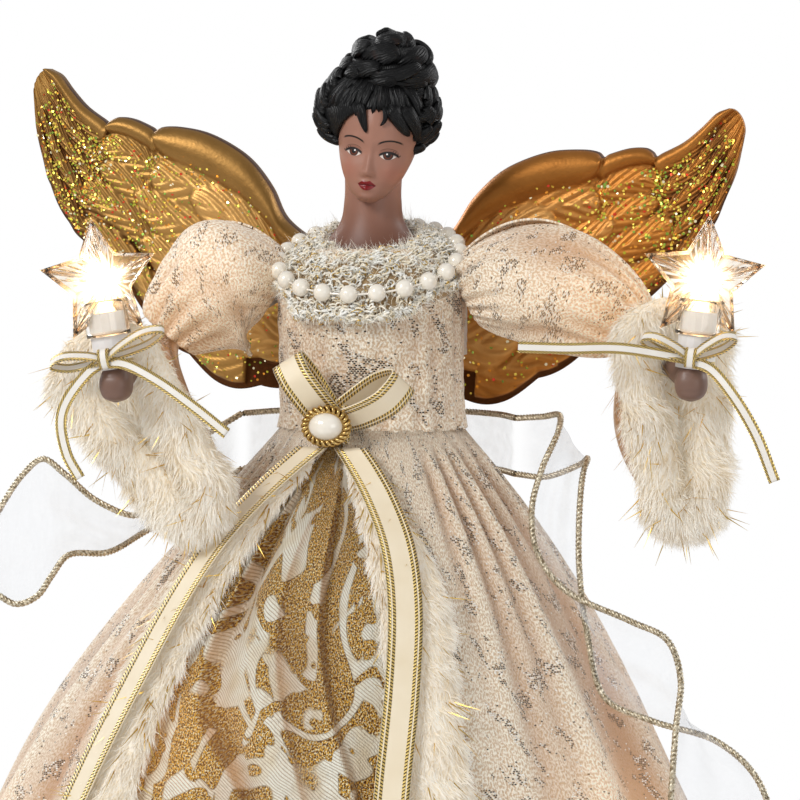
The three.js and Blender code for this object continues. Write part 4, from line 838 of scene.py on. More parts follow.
# Front panel.
# Gold jacquard with ivory scrolls in a ribbed weave, gathered under the overskirt's opening.
PANEL_UNDERLAP = np.radians(5)
PLEATS, PLEAT_DEPTH, PLEAT_EDGE, SHADE_REACH = 4, 8.0, 0.16, 0.13
BAND_SCALE, BAND_HALF = 0.028, 0.074
LEAF_SCALE, LEAF_LEVEL = 0.04, 0.59
EYE_SCALE, EYE_LEVEL = 0.075, 0.6
SWIRL, RIB_PITCH = 1.9, 0.8
PANEL_SEED, PANEL_GAP = 8, 1.6
PANEL_CLOTH, PANEL_CLOTH_TOP, PANEL_CLOTH_STRETCH = 112, 0.55, 1.1
SCROLL_SHIFT = (31.0, 17.0, 0.0)
PANEL_GLOW = (1.0, 0.46, 0.13, 1)

jacquard, sockets, where = finish("jacquard", Sheen_Weight=0.15, Emission_Strength=GLOW_STRENGTH)
cloth = own_uv(where)


def swirl(place, scale):
    """Smooth noise whose hills are twisted into curls."""
    sockets = {"Vector": place, "Scale": scale, "Detail": 0.0, "Distortion": SWIRL}
    return place.node("ShaderNodeTexNoise", {}, sockets)


bands = within(swirl(cloth, BAND_SCALE) - 0.5, BAND_HALF, 0.02)
shifted = cloth.node("ShaderNodeVectorMath", {"operation": "ADD"}, {0: cloth, 1: SCROLL_SHIFT})
leaves = swirl(shifted, LEAF_SCALE).above(LEAF_LEVEL, 0.02)
eyes = 1 - swirl(shifted, EYE_SCALE).above(EYE_LEVEL, 0.02)
ivory = bands.maths("MAXIMUM", leaves) * eyes
along_ribs = (cloth.axis(1) * 0.84 + cloth.axis(0) * 0.54 + cloth.noise(0.05) * 6) / RIB_PITCH
ribs = along_ribs.zigzag().above(0.11, 0.16)
grain = combined(cloth.axis(0) * 1.3, cloth.axis(1)).noise(1.5, 3.0)
painted_glint = cloth.noise(1.9, 1.0).above(0.58, 0.05)
deep = attribute(where, "deep")
gold = mixed(grain.above(0.5, 0.08), srgb(104, 60, 8), srgb(240, 186, 80))
# Painted highlights: small near-white glints scattered over the gold.
gold = mixed(painted_glint, gold, srgb(255, 244, 204))
pale = mixed(cloth.noise(0.11).above(0.42, 0.3), srgb(238, 221, 188), srgb(255, 251, 234))
pale = mixed(ribs, srgb(212, 190, 156), pale)
# Painted shade: by the deep value gold and ivory both turn brown in the pleats' valleys, and the metal is
# dulled there.
shaded = mixed(ivory, srgb(84, 42, 6), srgb(168, 112, 52))
feed(sockets["Base Color"], mixed(deep * 0.9, mixed(ivory, gold, pale), shaded))
feed(sockets["Metallic"], (1 - ivory) * (1 - deep * 0.5) * 0.65 + 0.05)
feed(sockets["Roughness"], ivory * 0.2 + 0.28 + grain * 0.1)
feed(sockets["Normal"], (ivory * 0.8 + ribs * ivory * 0.4 + grain * 1.6).bump(0.0006))
# Painted light: the cloth glows by its glow value, for the lamps' light shining through and a warm light in
# the creases.
feed(sockets["Emission Color"], mixed(attribute(where, "glow"), BLACK, PANEL_GLOW))

z = lerp(WAIST_Z - 2, 0.0, np.linspace(0, 1, 200) ** 0.9)[:, None]
s = np.linspace(0, 1, 181)[None, :]
half = open_angle(z) + PANEL_UNDERLAP
fold_sway = 0.16 * np.sin(z / 24 + 1.0) * np.sin(np.pi * s) + 0.06 * np.sin(9 * s + 0.7)
phase = PLEATS * (s + fold_sway) % 1
fold = smoothstep(phase, 0, PLEAT_EDGE) * (1 - phase)
uneven = 0.62 + 0.38 * np.sin(11 * s + z / 26)
off_edge = np.minimum(1, 6 * drop(z)) * (1 - smoothstep(np.abs(2 * s - 1), 0.75, 0.92))
pleat = PLEAT_DEPTH * fold * uneven * (0.8 + 0.2 * np.cos(z / 24)) * off_edge
crease = 1.0 + 1.1 * ripple(s * 14, z * 0.07, 6, PANEL_SEED) * np.minimum(1, 4 * drop(z))
inward = PANEL_GAP + pleat + np.clip(crease, 0, 3)
panel_points = skirt_point(open_centre(z) + half * (2 * s - 1), z, -inward)
cloth_wide = PANEL_CLOTH * lerp(PANEL_CLOTH_TOP, 1, np.minimum(1, 2 * drop(z)))
panel_uv = np.stack([(s - 0.5) * cloth_wide, z * PANEL_CLOTH_STRETCH + 0 * s], -1)
# Painted shade: a dark band beside each pleat's steep edge and along the creases, given as the deep value
# and in part as glow.
crease_shade = smoothstep(phase, 0, 0.06) * np.exp(-phase / SHADE_REACH) * (0.6 + 0.4 * uneven)
panel_shade = np.clip(1.2 * crease_shade * off_edge + 0.14 * crease - 0.1, 0, 1)
panel = cloth_piece(
    "panel_cloth", panel_points, jacquard, panel_uv, inside=(0, 30, 90),
    glow=np.clip(0.55 * lamp_glow(panel_points) + 0.12 * panel_shade, 0, 1), deep=panel_shade,
)
placed(panel, "figure", "jacquard", "front_panel")
panel_area = lay_flat(panel_points)


# Fur edging down both sides of the opening.
# Cream long-pile fur fabric with straight gold threads in the pile, sewn to the overskirt's edges.
FUR_WIDTH, FUR_HEIGHT, FUR_LAYER_GAP = 16.0, 7.0, 0.8
FUR_BACKING = 0.8
PILE_SHORT, PILE_LONG, HAIR_HALF_WIDTH = 2.4, 4.2, 0.16
THREAD_SHORT, THREAD_LONG, THREAD_HALF_WIDTH = 5.0, 9.0, 0.23
TRIM_HAIRS, TRIM_THREADS, TRIM_SEED, TRIM_TUFT_SEED = 31000, 300, 20, 25
TRIM_TOP, TRIM_FOOT, HAIR_FOOT = 6, 1, 6.0
SIDES = {"right": -1, "left": 1}


def strands(roots, grow, bend, facing, length, half_width, steps):
    """Flat tapered blades that leave their roots along grow, curve to bend and turn flat to facing."""
    t = np.linspace(0, 1, steps + 1)[None, :, None]
    line = roots[:, None, :] + length[:, None, None] * (t * grow[:, None, :] + t**2 * bend[:, None, :])
    flat = unit(np.cross(grow, facing))[:, None, :] * half_width * (1.08 - t)
    points = np.stack([line - flat, line + flat], 2)
    faces = grid(steps + 1, 2)[None] + (np.arange(len(roots)) * 2 * (steps + 1))[:, None, None]
    return points.reshape(-1, 3), faces.reshape(-1, 4), np.broadcast_to(t, points.shape[:3]).ravel()


fur, sockets, where = finish("cream_fur", Sheen_Weight=0.3, Specular_IOR_Level=0.2, Emission_Strength=0.07)
along = attribute(where, "tip")
clump = where.noise(150.0, 3.0)
# Darker towards the roots: partly the pile's own tone, partly painted shade deep in the pile.
root_tone_and_shade = mixed(clump, srgb(228, 208, 174), srgb(248, 238, 216))
pile_colour = mixed(along, root_tone_and_shade, mixed(clump, srgb(251, 247, 238), srgb(255, 254, 251)))
feed(sockets["Base Color"], pile_colour)
# Painted light: the fur glows faintly in its own colour, which lightens its shadows.
feed(sockets["Emission Color"], pile_colour)
feed(sockets["Roughness"], clump * 0.2 + 0.6)

gold_thread, _, _ = mottled(
    "gold_thread", (186, 144, 56), (255, 222, 132), 900.0, 2.0, 0.2, 0.4, Metallic=1.0
)


def fur_piece(name, backings, roots, outward, comb, pile, threads, chance):
    """Fur fabric and the gold threads in it: backings, and hairs that lean from outward to their comb."""
    count = len(roots)
    lean = chance.uniform(0.45, 0.85, (count, 1))
    grow = unit(lerp(outward, comb, lean) + chance.normal(0, 0.28, (count, 3)))
    facing = outward + chance.normal(0, 0.35, (count, 3))
    hairs = strands(roots, grow, 0.35 * (comb - 0.4 * outward), facing, pile, HAIR_HALF_WIDTH, 2)
    points, faces = joined(*[patch(backing) for backing in backings], hairs[:2])
    tips = np.concatenate([np.full(len(points) - len(hairs[0]), 0.5), hairs[2]])
    obj = mesh_piece(name, fur, points, faces, weld=False, tip=tips)
    pick = chance.choice(count, threads, replace=False)
    way = unit(0.55 * outward[pick] + 0.6 * comb[pick] + chance.normal(0, 0.35, (threads, 3)))
    length = chance.uniform(THREAD_SHORT, THREAD_LONG, threads)
    points, faces, _ = strands(roots[pick], way, 0.05 * way, outward[pick], length, THREAD_HALF_WIDTH, 2)
    return obj, mesh_piece(name + "_gold", gold_thread, points, faces, weld=False)


def pile_height(z):
    """The fur's share of its full height, which is low under the waist bow."""
    return lerp(0.35, 1, smoothstep(WAIST_Z - z, 6, 30))


def trim_surface(side, z, across, share):
    """The domed band beside the opening, by height, place across it and share of the dome's height."""
    narrow = lerp(0.45, 1, smoothstep(WAIST_Z - z, 6, 40))
    half = narrow * FUR_WIDTH / 2 / skirt_radius(z)
    middle = open_centre(z) + side * (open_angle(z) + half)
    dome = FUR_HEIGHT * pile_height(z) * np.sin(across)
    return skirt_point(middle + half * np.cos(across), z, FUR_LAYER_GAP + share * dome)


for name, side in SIDES.items():
    chance = np.random.default_rng(TRIM_SEED + side)
    z = np.linspace(TRIM_FOOT, WAIST_Z - TRIM_TOP, 120)[:, None]
    across = np.linspace(0, np.pi, 13)[None, :]
    backing = trim_surface(side, z, across, FUR_BACKING)
    root_z = lerp(WAIST_Z - TRIM_TOP - 1, HAIR_FOOT, chance.uniform(0, 1, TRIM_HAIRS) ** 0.95)
    root_across = np.pi * (0.5 + 0.49 * np.sin(chance.uniform(-np.pi / 2, np.pi / 2, TRIM_HAIRS)))
    roots = trim_surface(side, root_z, root_across, FUR_BACKING)
    outward = unit(roots - trim_surface(side, root_z, np.pi / 2 + 0 * root_across, -1.2))
    tuft = ripple(root_z * 0.35, root_across * 3, 6, TRIM_TUFT_SEED)
    comb = unit(np.stack([0.3 * side + 0.45 * tuft, -0.1 + 0 * tuft, -1 + 0.3 * tuft], -1))
    pile = lerp(0.45, 1, smoothstep(WAIST_Z - root_z, 6, 30))
    pile = pile * chance.uniform(PILE_SHORT, PILE_LONG, TRIM_HAIRS)
    edging, edging_gold = fur_piece(
        f"fur_edging_{name}", [backing], roots, outward, comb, pile, TRIM_THREADS, chance
    )
    placed(edging, "figure", "fur", f"fur_trim_{name}")
    placed(edging_gold, "figure", "gold_metal")


# Collar.
# Looped boucle yarn with a gold thread in it, knitted as a ring that lies on the shoulders, lower in front.
TORSO_TOP = 239.0
COLLAR_HALF, COLLAR_SEED, COLLAR_TUFT_SEED = 3.0, 31, 32
COLLAR_INNER, COLLAR_OUTER = 13.2, 27.0
COLLAR_DEPTH_FRONT, COLLAR_DEPTH_BACK = 25.5, 20.0
COLLAR_CURLS, COLLAR_GOLD_CURLS, COLLAR_FUZZ = 3800, 500, 9000
CURL_RADIUS, CURL_YARN, TUFT_HEIGHT = 1.05, 0.3, 0.7
GOLD_CURL_RADIUS, GOLD_CURL_YARN = 0.9, 0.14
FUZZ_HALF_WIDTH = 0.1
ARM_NARROW, ARM_FLAT, ARM_CLEAR_TURN = 0.14, 0.9, 0.8


def collar_frame(angle):
    """The collar's inner edge, its width outwards and its upward normal at an angle from the front."""
    behind = (1 - np.cos(angle)) / 2
    sine, cosine = np.sin(angle), np.cos(angle)
    deep = lerp(COLLAR_DEPTH_FRONT, COLLAR_DEPTH_BACK, behind)
    inner = np.stack([COLLAR_INNER * sine, -COLLAR_INNER * cosine, TORSO_TOP + lerp(6, 13.5, behind)], -1)
    outer = np.stack([COLLAR_OUTER * sine, -deep * cosine, TORSO_TOP + lerp(-10.5, 4.5, behind)], -1)
    around = np.stack([cosine, sine, 0 * angle], -1)
    normal = unit(np.cross(around, outer - inner))
    return inner, outer - inner, normal * np.where(normal[..., 2:] < 0, -1, 1)


def at_arm(angle):
    """1 over the arms, 0 in front and behind."""
    return smoothstep(np.abs(np.sin(angle)), 0.5, 0.8)


def collar_surface(angle, section, share):
    """The collar's skin by angle and place round its section: flat and narrow over the arms, which lift."""
    inner, along, normal = collar_frame(angle)
    narrow = 1 - ARM_NARROW * at_arm(angle) * (np.cos(section) > 0)
    reach = 0.5 + 0.5 * share * np.cos(section) * narrow
    under = np.where(np.sin(section) < 0, 1 - ARM_FLAT * at_arm(angle), 1)
    height = COLLAR_HALF * share * under * np.sin(section)
    return inner + along * reach[..., None] + normal * height[..., None]


def curls(chance, middles, normals, radius, wire):
    """Open loops of yarn that stand on a surface: arcs of a circle that climb a little, as thin tubes."""
    count = len(middles)
    t = np.linspace(0, 1, 8)[None, :, None]
    arc = chance.uniform(0, 2 * np.pi, (count, 1, 1)) + t * chance.uniform(4.0, 6.2, (count, 1, 1))
    first = unit(np.cross(normals, chance.normal(size=(count, 3))))[:, None, :]
    second = normals * chance.uniform(0.2, 1.0, (count, 1)) + 0.8 * np.cross(normals, first[:, 0])
    second = unit(second)[:, None, :]
    size = radius * chance.uniform(0.6, 1.25, (count, 1, 1))
    paths = middles[:, None, :] + size * (np.cos(arc) * first + np.sin(arc) * second)
    paths = paths + normals[:, None, :] * t * 0.5
    return sweep(paths, wire, 3)


chance = np.random.default_rng(COLLAR_SEED)
turn = circle(121)[:, None]
section = circle(25)[None, :]
collar_base = collar_surface(turn + 0 * section, section + 0 * turn, 0.92)
curl_turn = chance.uniform(0, 2 * np.pi, COLLAR_CURLS)
curl_section = chance.uniform(-0.6, np.pi + 1.2, COLLAR_CURLS)
curl_section = np.maximum(curl_section, ARM_CLEAR_TURN * at_arm(curl_turn))
ways = unit(collar_surface(curl_turn, curl_section, 0.96) - collar_surface(curl_turn, curl_section, 0.3))
tuft = TUFT_HEIGHT * ripple(curl_turn * 14, curl_section * 5, 6, COLLAR_TUFT_SEED)
spots = collar_surface(curl_turn, curl_section, 0.96) + ways * tuft[:, None]
boucle, sockets, where = finish("boucle", Sheen_Weight=0.4, Specular_IOR_Level=0.2)
fleece = where.noise(500.0, 3.0)
fleece_colour = mixed(fleece.above(0.48, 0.2), srgb(248, 237, 212), srgb(255, 254, 247))
# The backing under the loops is painted dark brown: painted shade in the gaps between the loops.
feed(sockets["Base Color"], mixed(attribute(where, "backing"), fleece_colour, srgb(158, 130, 92)))
feed(sockets["Roughness"], fleece * 0.2 + 0.65)
feed(sockets["Normal"], fleece.bump(0.0003))
points, faces = joined(patch(collar_base), curls(chance, spots, ways, CURL_RADIUS, CURL_YARN))
backing = np.arange(len(points)) < collar_base.size / 3
collar = mesh_piece("collar_boucle", boucle, points, faces, backing=backing.astype(float))
placed(collar, "figure", "boucle", "collar")
fuzz_turn = chance.uniform(0, 2 * np.pi, COLLAR_FUZZ)
fuzz_section = chance.uniform(-0.6, np.pi + 1.0, COLLAR_FUZZ)
fuzz_section = np.maximum(fuzz_section, ARM_CLEAR_TURN * at_arm(fuzz_turn))
fuzz_roots = collar_surface(fuzz_turn, fuzz_section, 1.0)
fuzz_way = unit(fuzz_roots - collar_surface(fuzz_turn, fuzz_section, 0.3))
fuzz_way = unit(fuzz_way + chance.normal(0, 0.5, (COLLAR_FUZZ, 3)))
fuzz_bend = chance.normal(0, 0.5, (COLLAR_FUZZ, 3))
fuzz_long = chance.uniform(1.4, 3.0, COLLAR_FUZZ)
fuzz_facing = chance.normal(size=(COLLAR_FUZZ, 3))
points, faces, _ = strands(fuzz_roots, fuzz_way, fuzz_bend, fuzz_facing, fuzz_long, FUZZ_HALF_WIDTH, 2)
collar_fuzz = mesh_piece("collar_loose_ends", boucle, points, faces, weld=False)
placed(collar_fuzz, "figure", "boucle")
gold_spots = chance.choice(COLLAR_CURLS, COLLAR_GOLD_CURLS, replace=False)
gold_way = ways[gold_spots]
gold_curls = curls(chance, spots[gold_spots] + 0.6 * gold_way, gold_way, GOLD_CURL_RADIUS, GOLD_CURL_YARN)
collar_gold = mesh_piece("collar_gold_thread", gold_thread, *gold_curls)
placed(collar_gold, "figure", "gold_metal")


# Pearl string.
# Round glass pearls on a thread, tacked to the collar.
PEARL_RADIUS, PEARL_COUNT = 2.4, 23
PEARL_LIFT, THREAD_RADIUS = 4.3, 0.3


def balls(middles, radius, rows, columns):
    """Round beads of one radius at many places."""
    rise = np.linspace(-np.pi / 2, np.pi / 2, rows)[:, None]
    turn = circle(columns)[None, :]
    bead = np.stack([np.cos(rise) * np.cos(turn), np.cos(rise) * np.sin(turn), np.sin(rise) + 0 * turn], -1)
    points = middles[:, None, None, :] + radius * bead
    faces = grid(rows, columns)[None] + (np.arange(len(middles)) * rows * columns)[:, None, None]
    return points.reshape(-1, 3), faces.reshape(-1, 4)


def thread_point(angle):
    """The thread's place over the collar: near its outer edge in front, near its inner one behind."""
    inner, along, normal = collar_frame(angle)
    share = lerp(0.76, 0.36, (1 - np.cos(angle)) / 2)[..., None]
    return inner + share * along + normal * PEARL_LIFT


pearl, sockets, where = mottled(
    "pearl", (238, 228, 208), (250, 244, 232), 240.0, 2.0, 0.1, 0.18,
    Coat_Weight=1.0, Coat_Roughness=0.06, Sheen_Weight=0.3,
)
feed(sockets["Normal"], where.noise(800.0).bump(0.00002))
beads = balls(thread_point(circle(PEARL_COUNT + 1)[:-1]), PEARL_RADIUS, 17, 25)
thread = sweep(thread_point(circle(140))[None], THREAD_RADIUS, 6)
pearls = mesh_piece("pearls", pearl, *joined(beads, thread))
placed(pearls, "figure", "pearl", "pearl_string")


# Waist bow, its tails and the brooch.
# Ivory satin ribbon with two gold lines near each edge, tied at the waist under a rope-edged brooch.
KNOT = np.array([-4.8, -24.4, 201.0])
WAIST_RIBBON, RIBBON_THICKNESS, RIBBON_COLUMNS = 9.0, 0.0004, 9
LINE_DARK, LINE_BRIGHT = srgb(64, 44, 14), srgb(246, 214, 130)
LOOP_SHAPE = np.array([(0.02, 0), (0.35, 0.8), (0.75, 1), (1, 0), (0.75, -0.8), (0.35, -0.6), (0.02, -0.08)])
LOOP_SWELL, TAIL_POINTS, TAIL_LIFT = 4.4, 120, 1.2
TIE_DEEP, TIE_HIGH = 2.2, 5.0
TAILS = {
    "right": [
        (-17, 195.2), (-24, 190), (-29, 183), (-31.5, 172), (-32, 158),
        (-31, 138), (-31, 116), (-32, 94), (-33, 70),
    ],
    "left": [
        (2, 195.2), (9, 190), (15, 183), (19.5, 172), (21, 158),
        (20.5, 138), (19, 116), (17.5, 94), (16, 64),
    ],
}


def run(path):
    """How far each point lies along a path."""
    return np.concatenate([[0], np.cumsum(np.linalg.norm(np.diff(path, axis=0), axis=1))])


def route(points, count):
    """Evenly placed points on a smooth curve through the given ones."""
    points = np.asarray(points, float)
    knots = np.concatenate([[0], np.cumsum(np.linalg.norm(np.diff(points, axis=0), axis=1) ** 0.5)])
    fine = through(np.linspace(0, knots[-1], 40 * len(points)), knots, points)
    far = run(fine)
    even = np.linspace(0, far[-1], count)
    return np.stack([np.interp(even, far, fine[:, k]) for k in range(3)], -1)


def ribbon(path, across, width):
    """A flat strip along a path: its points and its UV, in millimetres along it and shares across it."""
    share = np.linspace(-0.5, 0.5, RIBBON_COLUMNS)
    side = unit(across)
    points = path[:, None, :] + side[:, None, :] * (share[:, None] * width)
    return points, np.stack(np.broadcast_arrays(run(path)[:, None], share[None, :]), -1)


def ribbon_finish(name, lines, half_line, dull, bright):
    """Satin between two colours, with gold lines woven in at the given shares of its half width."""
    material, sockets, where = finish(name, Sheen_Weight=0.3, Anisotropic=0.4)
    cloth = own_uv(where)
    from_edge = abs(cloth.axis(1)) * 2.0
    gold = from_edge * 0.0
    for line in lines:
        gold = gold.maths("MAXIMUM", 1 - abs(from_edge - line).above(half_line, 0.03))
    plait = (cloth.axis(0) * 1.1 + from_edge * 3.0).zigzag()
    weft = (cloth.axis(0) * 4.0).zigzag()
    satin = mixed(where.noise(120.0), dull, bright)
    metal = mixed(plait.above(0.2, 0.12), LINE_DARK, LINE_BRIGHT)
    feed(sockets["Base Color"], mixed(gold, satin, metal))
    feed(sockets["Metallic"], gold * 0.85)
    feed(sockets["Roughness"], 0.42 - gold * 0.14 + weft * 0.1)
    feed(sockets["Normal"], (weft * 0.2 + gold * plait * 1.5).bump(0.0002))
    return material


def ribbon_piece(name, strips, material):
    """One ribbon piece from several strips."""
    obj = mesh_piece(name, material, *joined(*[patch(*strip) for strip in strips]))
    thicken(obj, RIBBON_THICKNESS, 0)
    return obj


def bow_loop(knot, direction, facing, swell, width, count=60):
    """A ribbon loop that leaves the knot, swells towards facing and comes back."""
    direction, facing = np.asarray(direction, float), unit(np.asarray(facing, float))
    path = route(knot + LOOP_SHAPE[:, :1] * direction + LOOP_SHAPE[:, 1:] * swell * facing, count)
    across = np.broadcast_to(np.cross(direction, facing), path.shape)
    return ribbon(path, across, width)


def tie(knot, deep, high, width, count):
    """The short wrap round a bow's knot."""
    turn = circle(count)
    path = knot + np.stack([0 * turn, -deep * np.cos(turn), high * np.sin(turn)], -1)
    return ribbon(path, np.broadcast_to([1.0, 0, 0], path.shape), width)


satin = ribbon_finish("striped_satin", (0.88, 0.62), 0.09, srgb(234, 216, 182), srgb(247, 234, 208))
bow = ribbon_piece(
    "bow_loops",
    [
        bow_loop(KNOT, (-11, -4, 17), (0, -1, 0), LOOP_SWELL, WAIST_RIBBON),
        bow_loop(KNOT, (20, -4, 12), (0.3, -0.75, -0.5), LOOP_SWELL, WAIST_RIBBON),
        tie(KNOT, TIE_DEEP, TIE_HIGH, WAIST_RIBBON, 40),
    ],
    satin,
)
placed(bow, "figure", "ribbon", "waist_bow")
for name, tail_places in TAILS.items():
    degrees, z = np.array(tail_places, float).T
    lift = FUR_LAYER_GAP + FUR_HEIGHT * pile_height(z) + TAIL_LIFT
    path = route(skirt_point(np.radians(degrees), z, lift), TAIL_POINTS)
    across = np.stack([-path[:, 1], path[:, 0] * DEPTH_RATIO, 0 * path[:, 0]], -1)
    tail = ribbon_piece(f"bow_tail_{name}_satin", [ribbon(path, across, WAIST_RIBBON)], satin)
    placed(tail, "figure", "ribbon", f"bow_tail_{name}")
    path[0] * MM
    path * MM

BROOCH = np.array([-4.8, -31.0, 201.0])
BROOCH_WIDE, BROOCH_HIGH = 5.6, 4.4
ROPE_TWISTS, ROPE_ORBIT, ROPE_RADIUS, BEZEL_RADIUS = 12, 0.72, 0.5, 0.32
CABOCHON_WIDE, CABOCHON_HIGH, CABOCHON_DEEP, CABOCHON_OUT = 4.5, 3.5, 3.4, 0.3
BEZEL_SHARE, BEZEL_OUT, PLATE_SHARE, PLATE_BACK = 0.83, 0.4, 0.98, 0.9
FORWARD = np.array([0, -1.0, 0])
gold_metal, _, _ = mottled(
    "antique_gold", (148, 110, 54), (238, 208, 140), 420.0, 4.0, 0.18, 0.43, Metallic=1.0
)
turn = circle(241)
oval = np.stack([BROOCH_WIDE * np.sin(turn), 0 * turn, BROOCH_HIGH * np.cos(turn)], -1)
ropes = []
for phase in (0, np.pi):
    wind = ROPE_TWISTS * turn + phase
    orbit = np.cos(wind)[:, None] * unit(oval) + np.sin(wind)[:, None] * FORWARD
    ropes.append(BROOCH + oval + ROPE_ORBIT * orbit)
bezel = BROOCH + oval * BEZEL_SHARE + FORWARD * BEZEL_OUT
plate = BROOCH + oval * PLATE_SHARE * np.linspace(0, 1, 12)[:, None, None] - FORWARD * PLATE_BACK
setting = mesh_piece(
    "brooch_gold", gold_metal,
    *joined(sweep(np.stack(ropes), ROPE_RADIUS, 8), sweep(bezel[None], BEZEL_RADIUS, 8), patch(plate)),
)
placed(setting, "figure", "gold_metal", "brooch_setting")
dome_rise = np.linspace(0, np.pi / 2, 24)[:, None]
dome_turn = circle(65)[None, :]
dome_wide = CABOCHON_WIDE * np.cos(dome_rise) * np.cos(dome_turn)
dome_high = CABOCHON_HIGH * np.cos(dome_rise) * np.sin(dome_turn)
dome_deep = CABOCHON_DEEP * np.sin(dome_rise) + CABOCHON_OUT + 0 * dome_turn
dome = BROOCH + np.stack([dome_wide, -dome_deep, dome_high], -1)
cabochon = mesh_piece("brooch_cabochon", pearl, *patch(dome), inside=BROOCH + [0, 2, 0])
placed(cabochon, "figure", "pearl", "brooch_pearl")


# Sleeves and fur cuffs.
# A gathered puff on a bent wire, then a bell of the same brocade with a hanging mouth edged with fur.
SHOULDER = np.array([23.3, -1.0, 234.0])
PUFF_RADIUS, PUFF_END_RADIUS, PUFF_RISE = 16.5, 8.0, 14.0
CUFF_HALF_WIDTH, CUFF_FOLD_HALF_WIDTH = 11.0, 7.0
CUFF_DROP, CUFF_RISE, CUFF_FUR_RADIUS = 41.0, 11.0, 6.0
HAND_TO_MOUTH = 20.0
CUFF_HAIRS, LINING_HAIRS, CUFF_THREADS, CUFF_SEED = 28000, 6000, 300, 60
CUFF_INNER_SWELL = 1.45
STAR_CENTRE, STAR_SHINE = 27.0, 40.0
PUFF_SEED, BELL_SEED, CUFF_TUFT_SEED = 43, 50, 65
PUFF_CLOTH, BELL_CLOTH, BELL_TUCK = (14, 62), (18, 48), 3.7
ARMS = {
    "right": {"elbow": (-54, -8, 223), "hand": (-53.2, -57, 212.4), "lean": 35, "shift": (-4.5, 0, -4.5)},
    "left": {"elbow": (70, 2, 225), "hand": (90.4, -30, 213), "lean": 6, "shift": (0, 0, 0)},
}


def cross_axes(ahead, lean=0.0):
    """Level and upright axes square to a direction, rolled by lean."""
    side = unit(np.cross(ahead, [0, 0, 1.0]))
    up = unit(np.cross(side, ahead))
    return side * np.cos(lean) - up * np.sin(lean), up * np.cos(lean) + side * np.sin(lean)


def carried(path, axes, wide, high):
    """Sections carried along a path, by their reach along its two cross axes."""
    return path + axes[0] * wide[..., None] + axes[1] * high[..., None]


def bezier(points, t):
    """A point on the curve that the control points pull, by repeated mixing of neighbours."""
    points = [np.asarray(p, float) for p in points]
    while len(points) > 1:
        points = [lerp(a, b, t) for a, b in zip(points, points[1:])]
    return points[0]


def mouth_point(angle, grow):
    """The sleeve's mouth, a tall loop with straight sides, wider above: its reach to the side and up."""
    straight = (CUFF_DROP + CUFF_RISE) / 2 - CUFF_FOLD_HALF_WIDTH
    above = CUFF_FOLD_HALF_WIDTH * np.cos(angle) + np.tanh(9 * np.cos(angle)) * straight
    half = lerp(CUFF_FOLD_HALF_WIDTH, CUFF_HALF_WIDTH, np.clip(above / straight / 2 + 0.5, 0, 1))
    return (half + grow) * np.sin(angle), (CUFF_RISE - CUFF_DROP) / 2 + above + grow * np.cos(angle)


def star_glow(points, star):
    """How strongly the candle's star lights each point, from 0 to 1: light painted into the sleeves as their
    glow.
    """
    return np.exp(-((np.linalg.norm(points - star, axis=-1) / STAR_SHINE) ** 2))


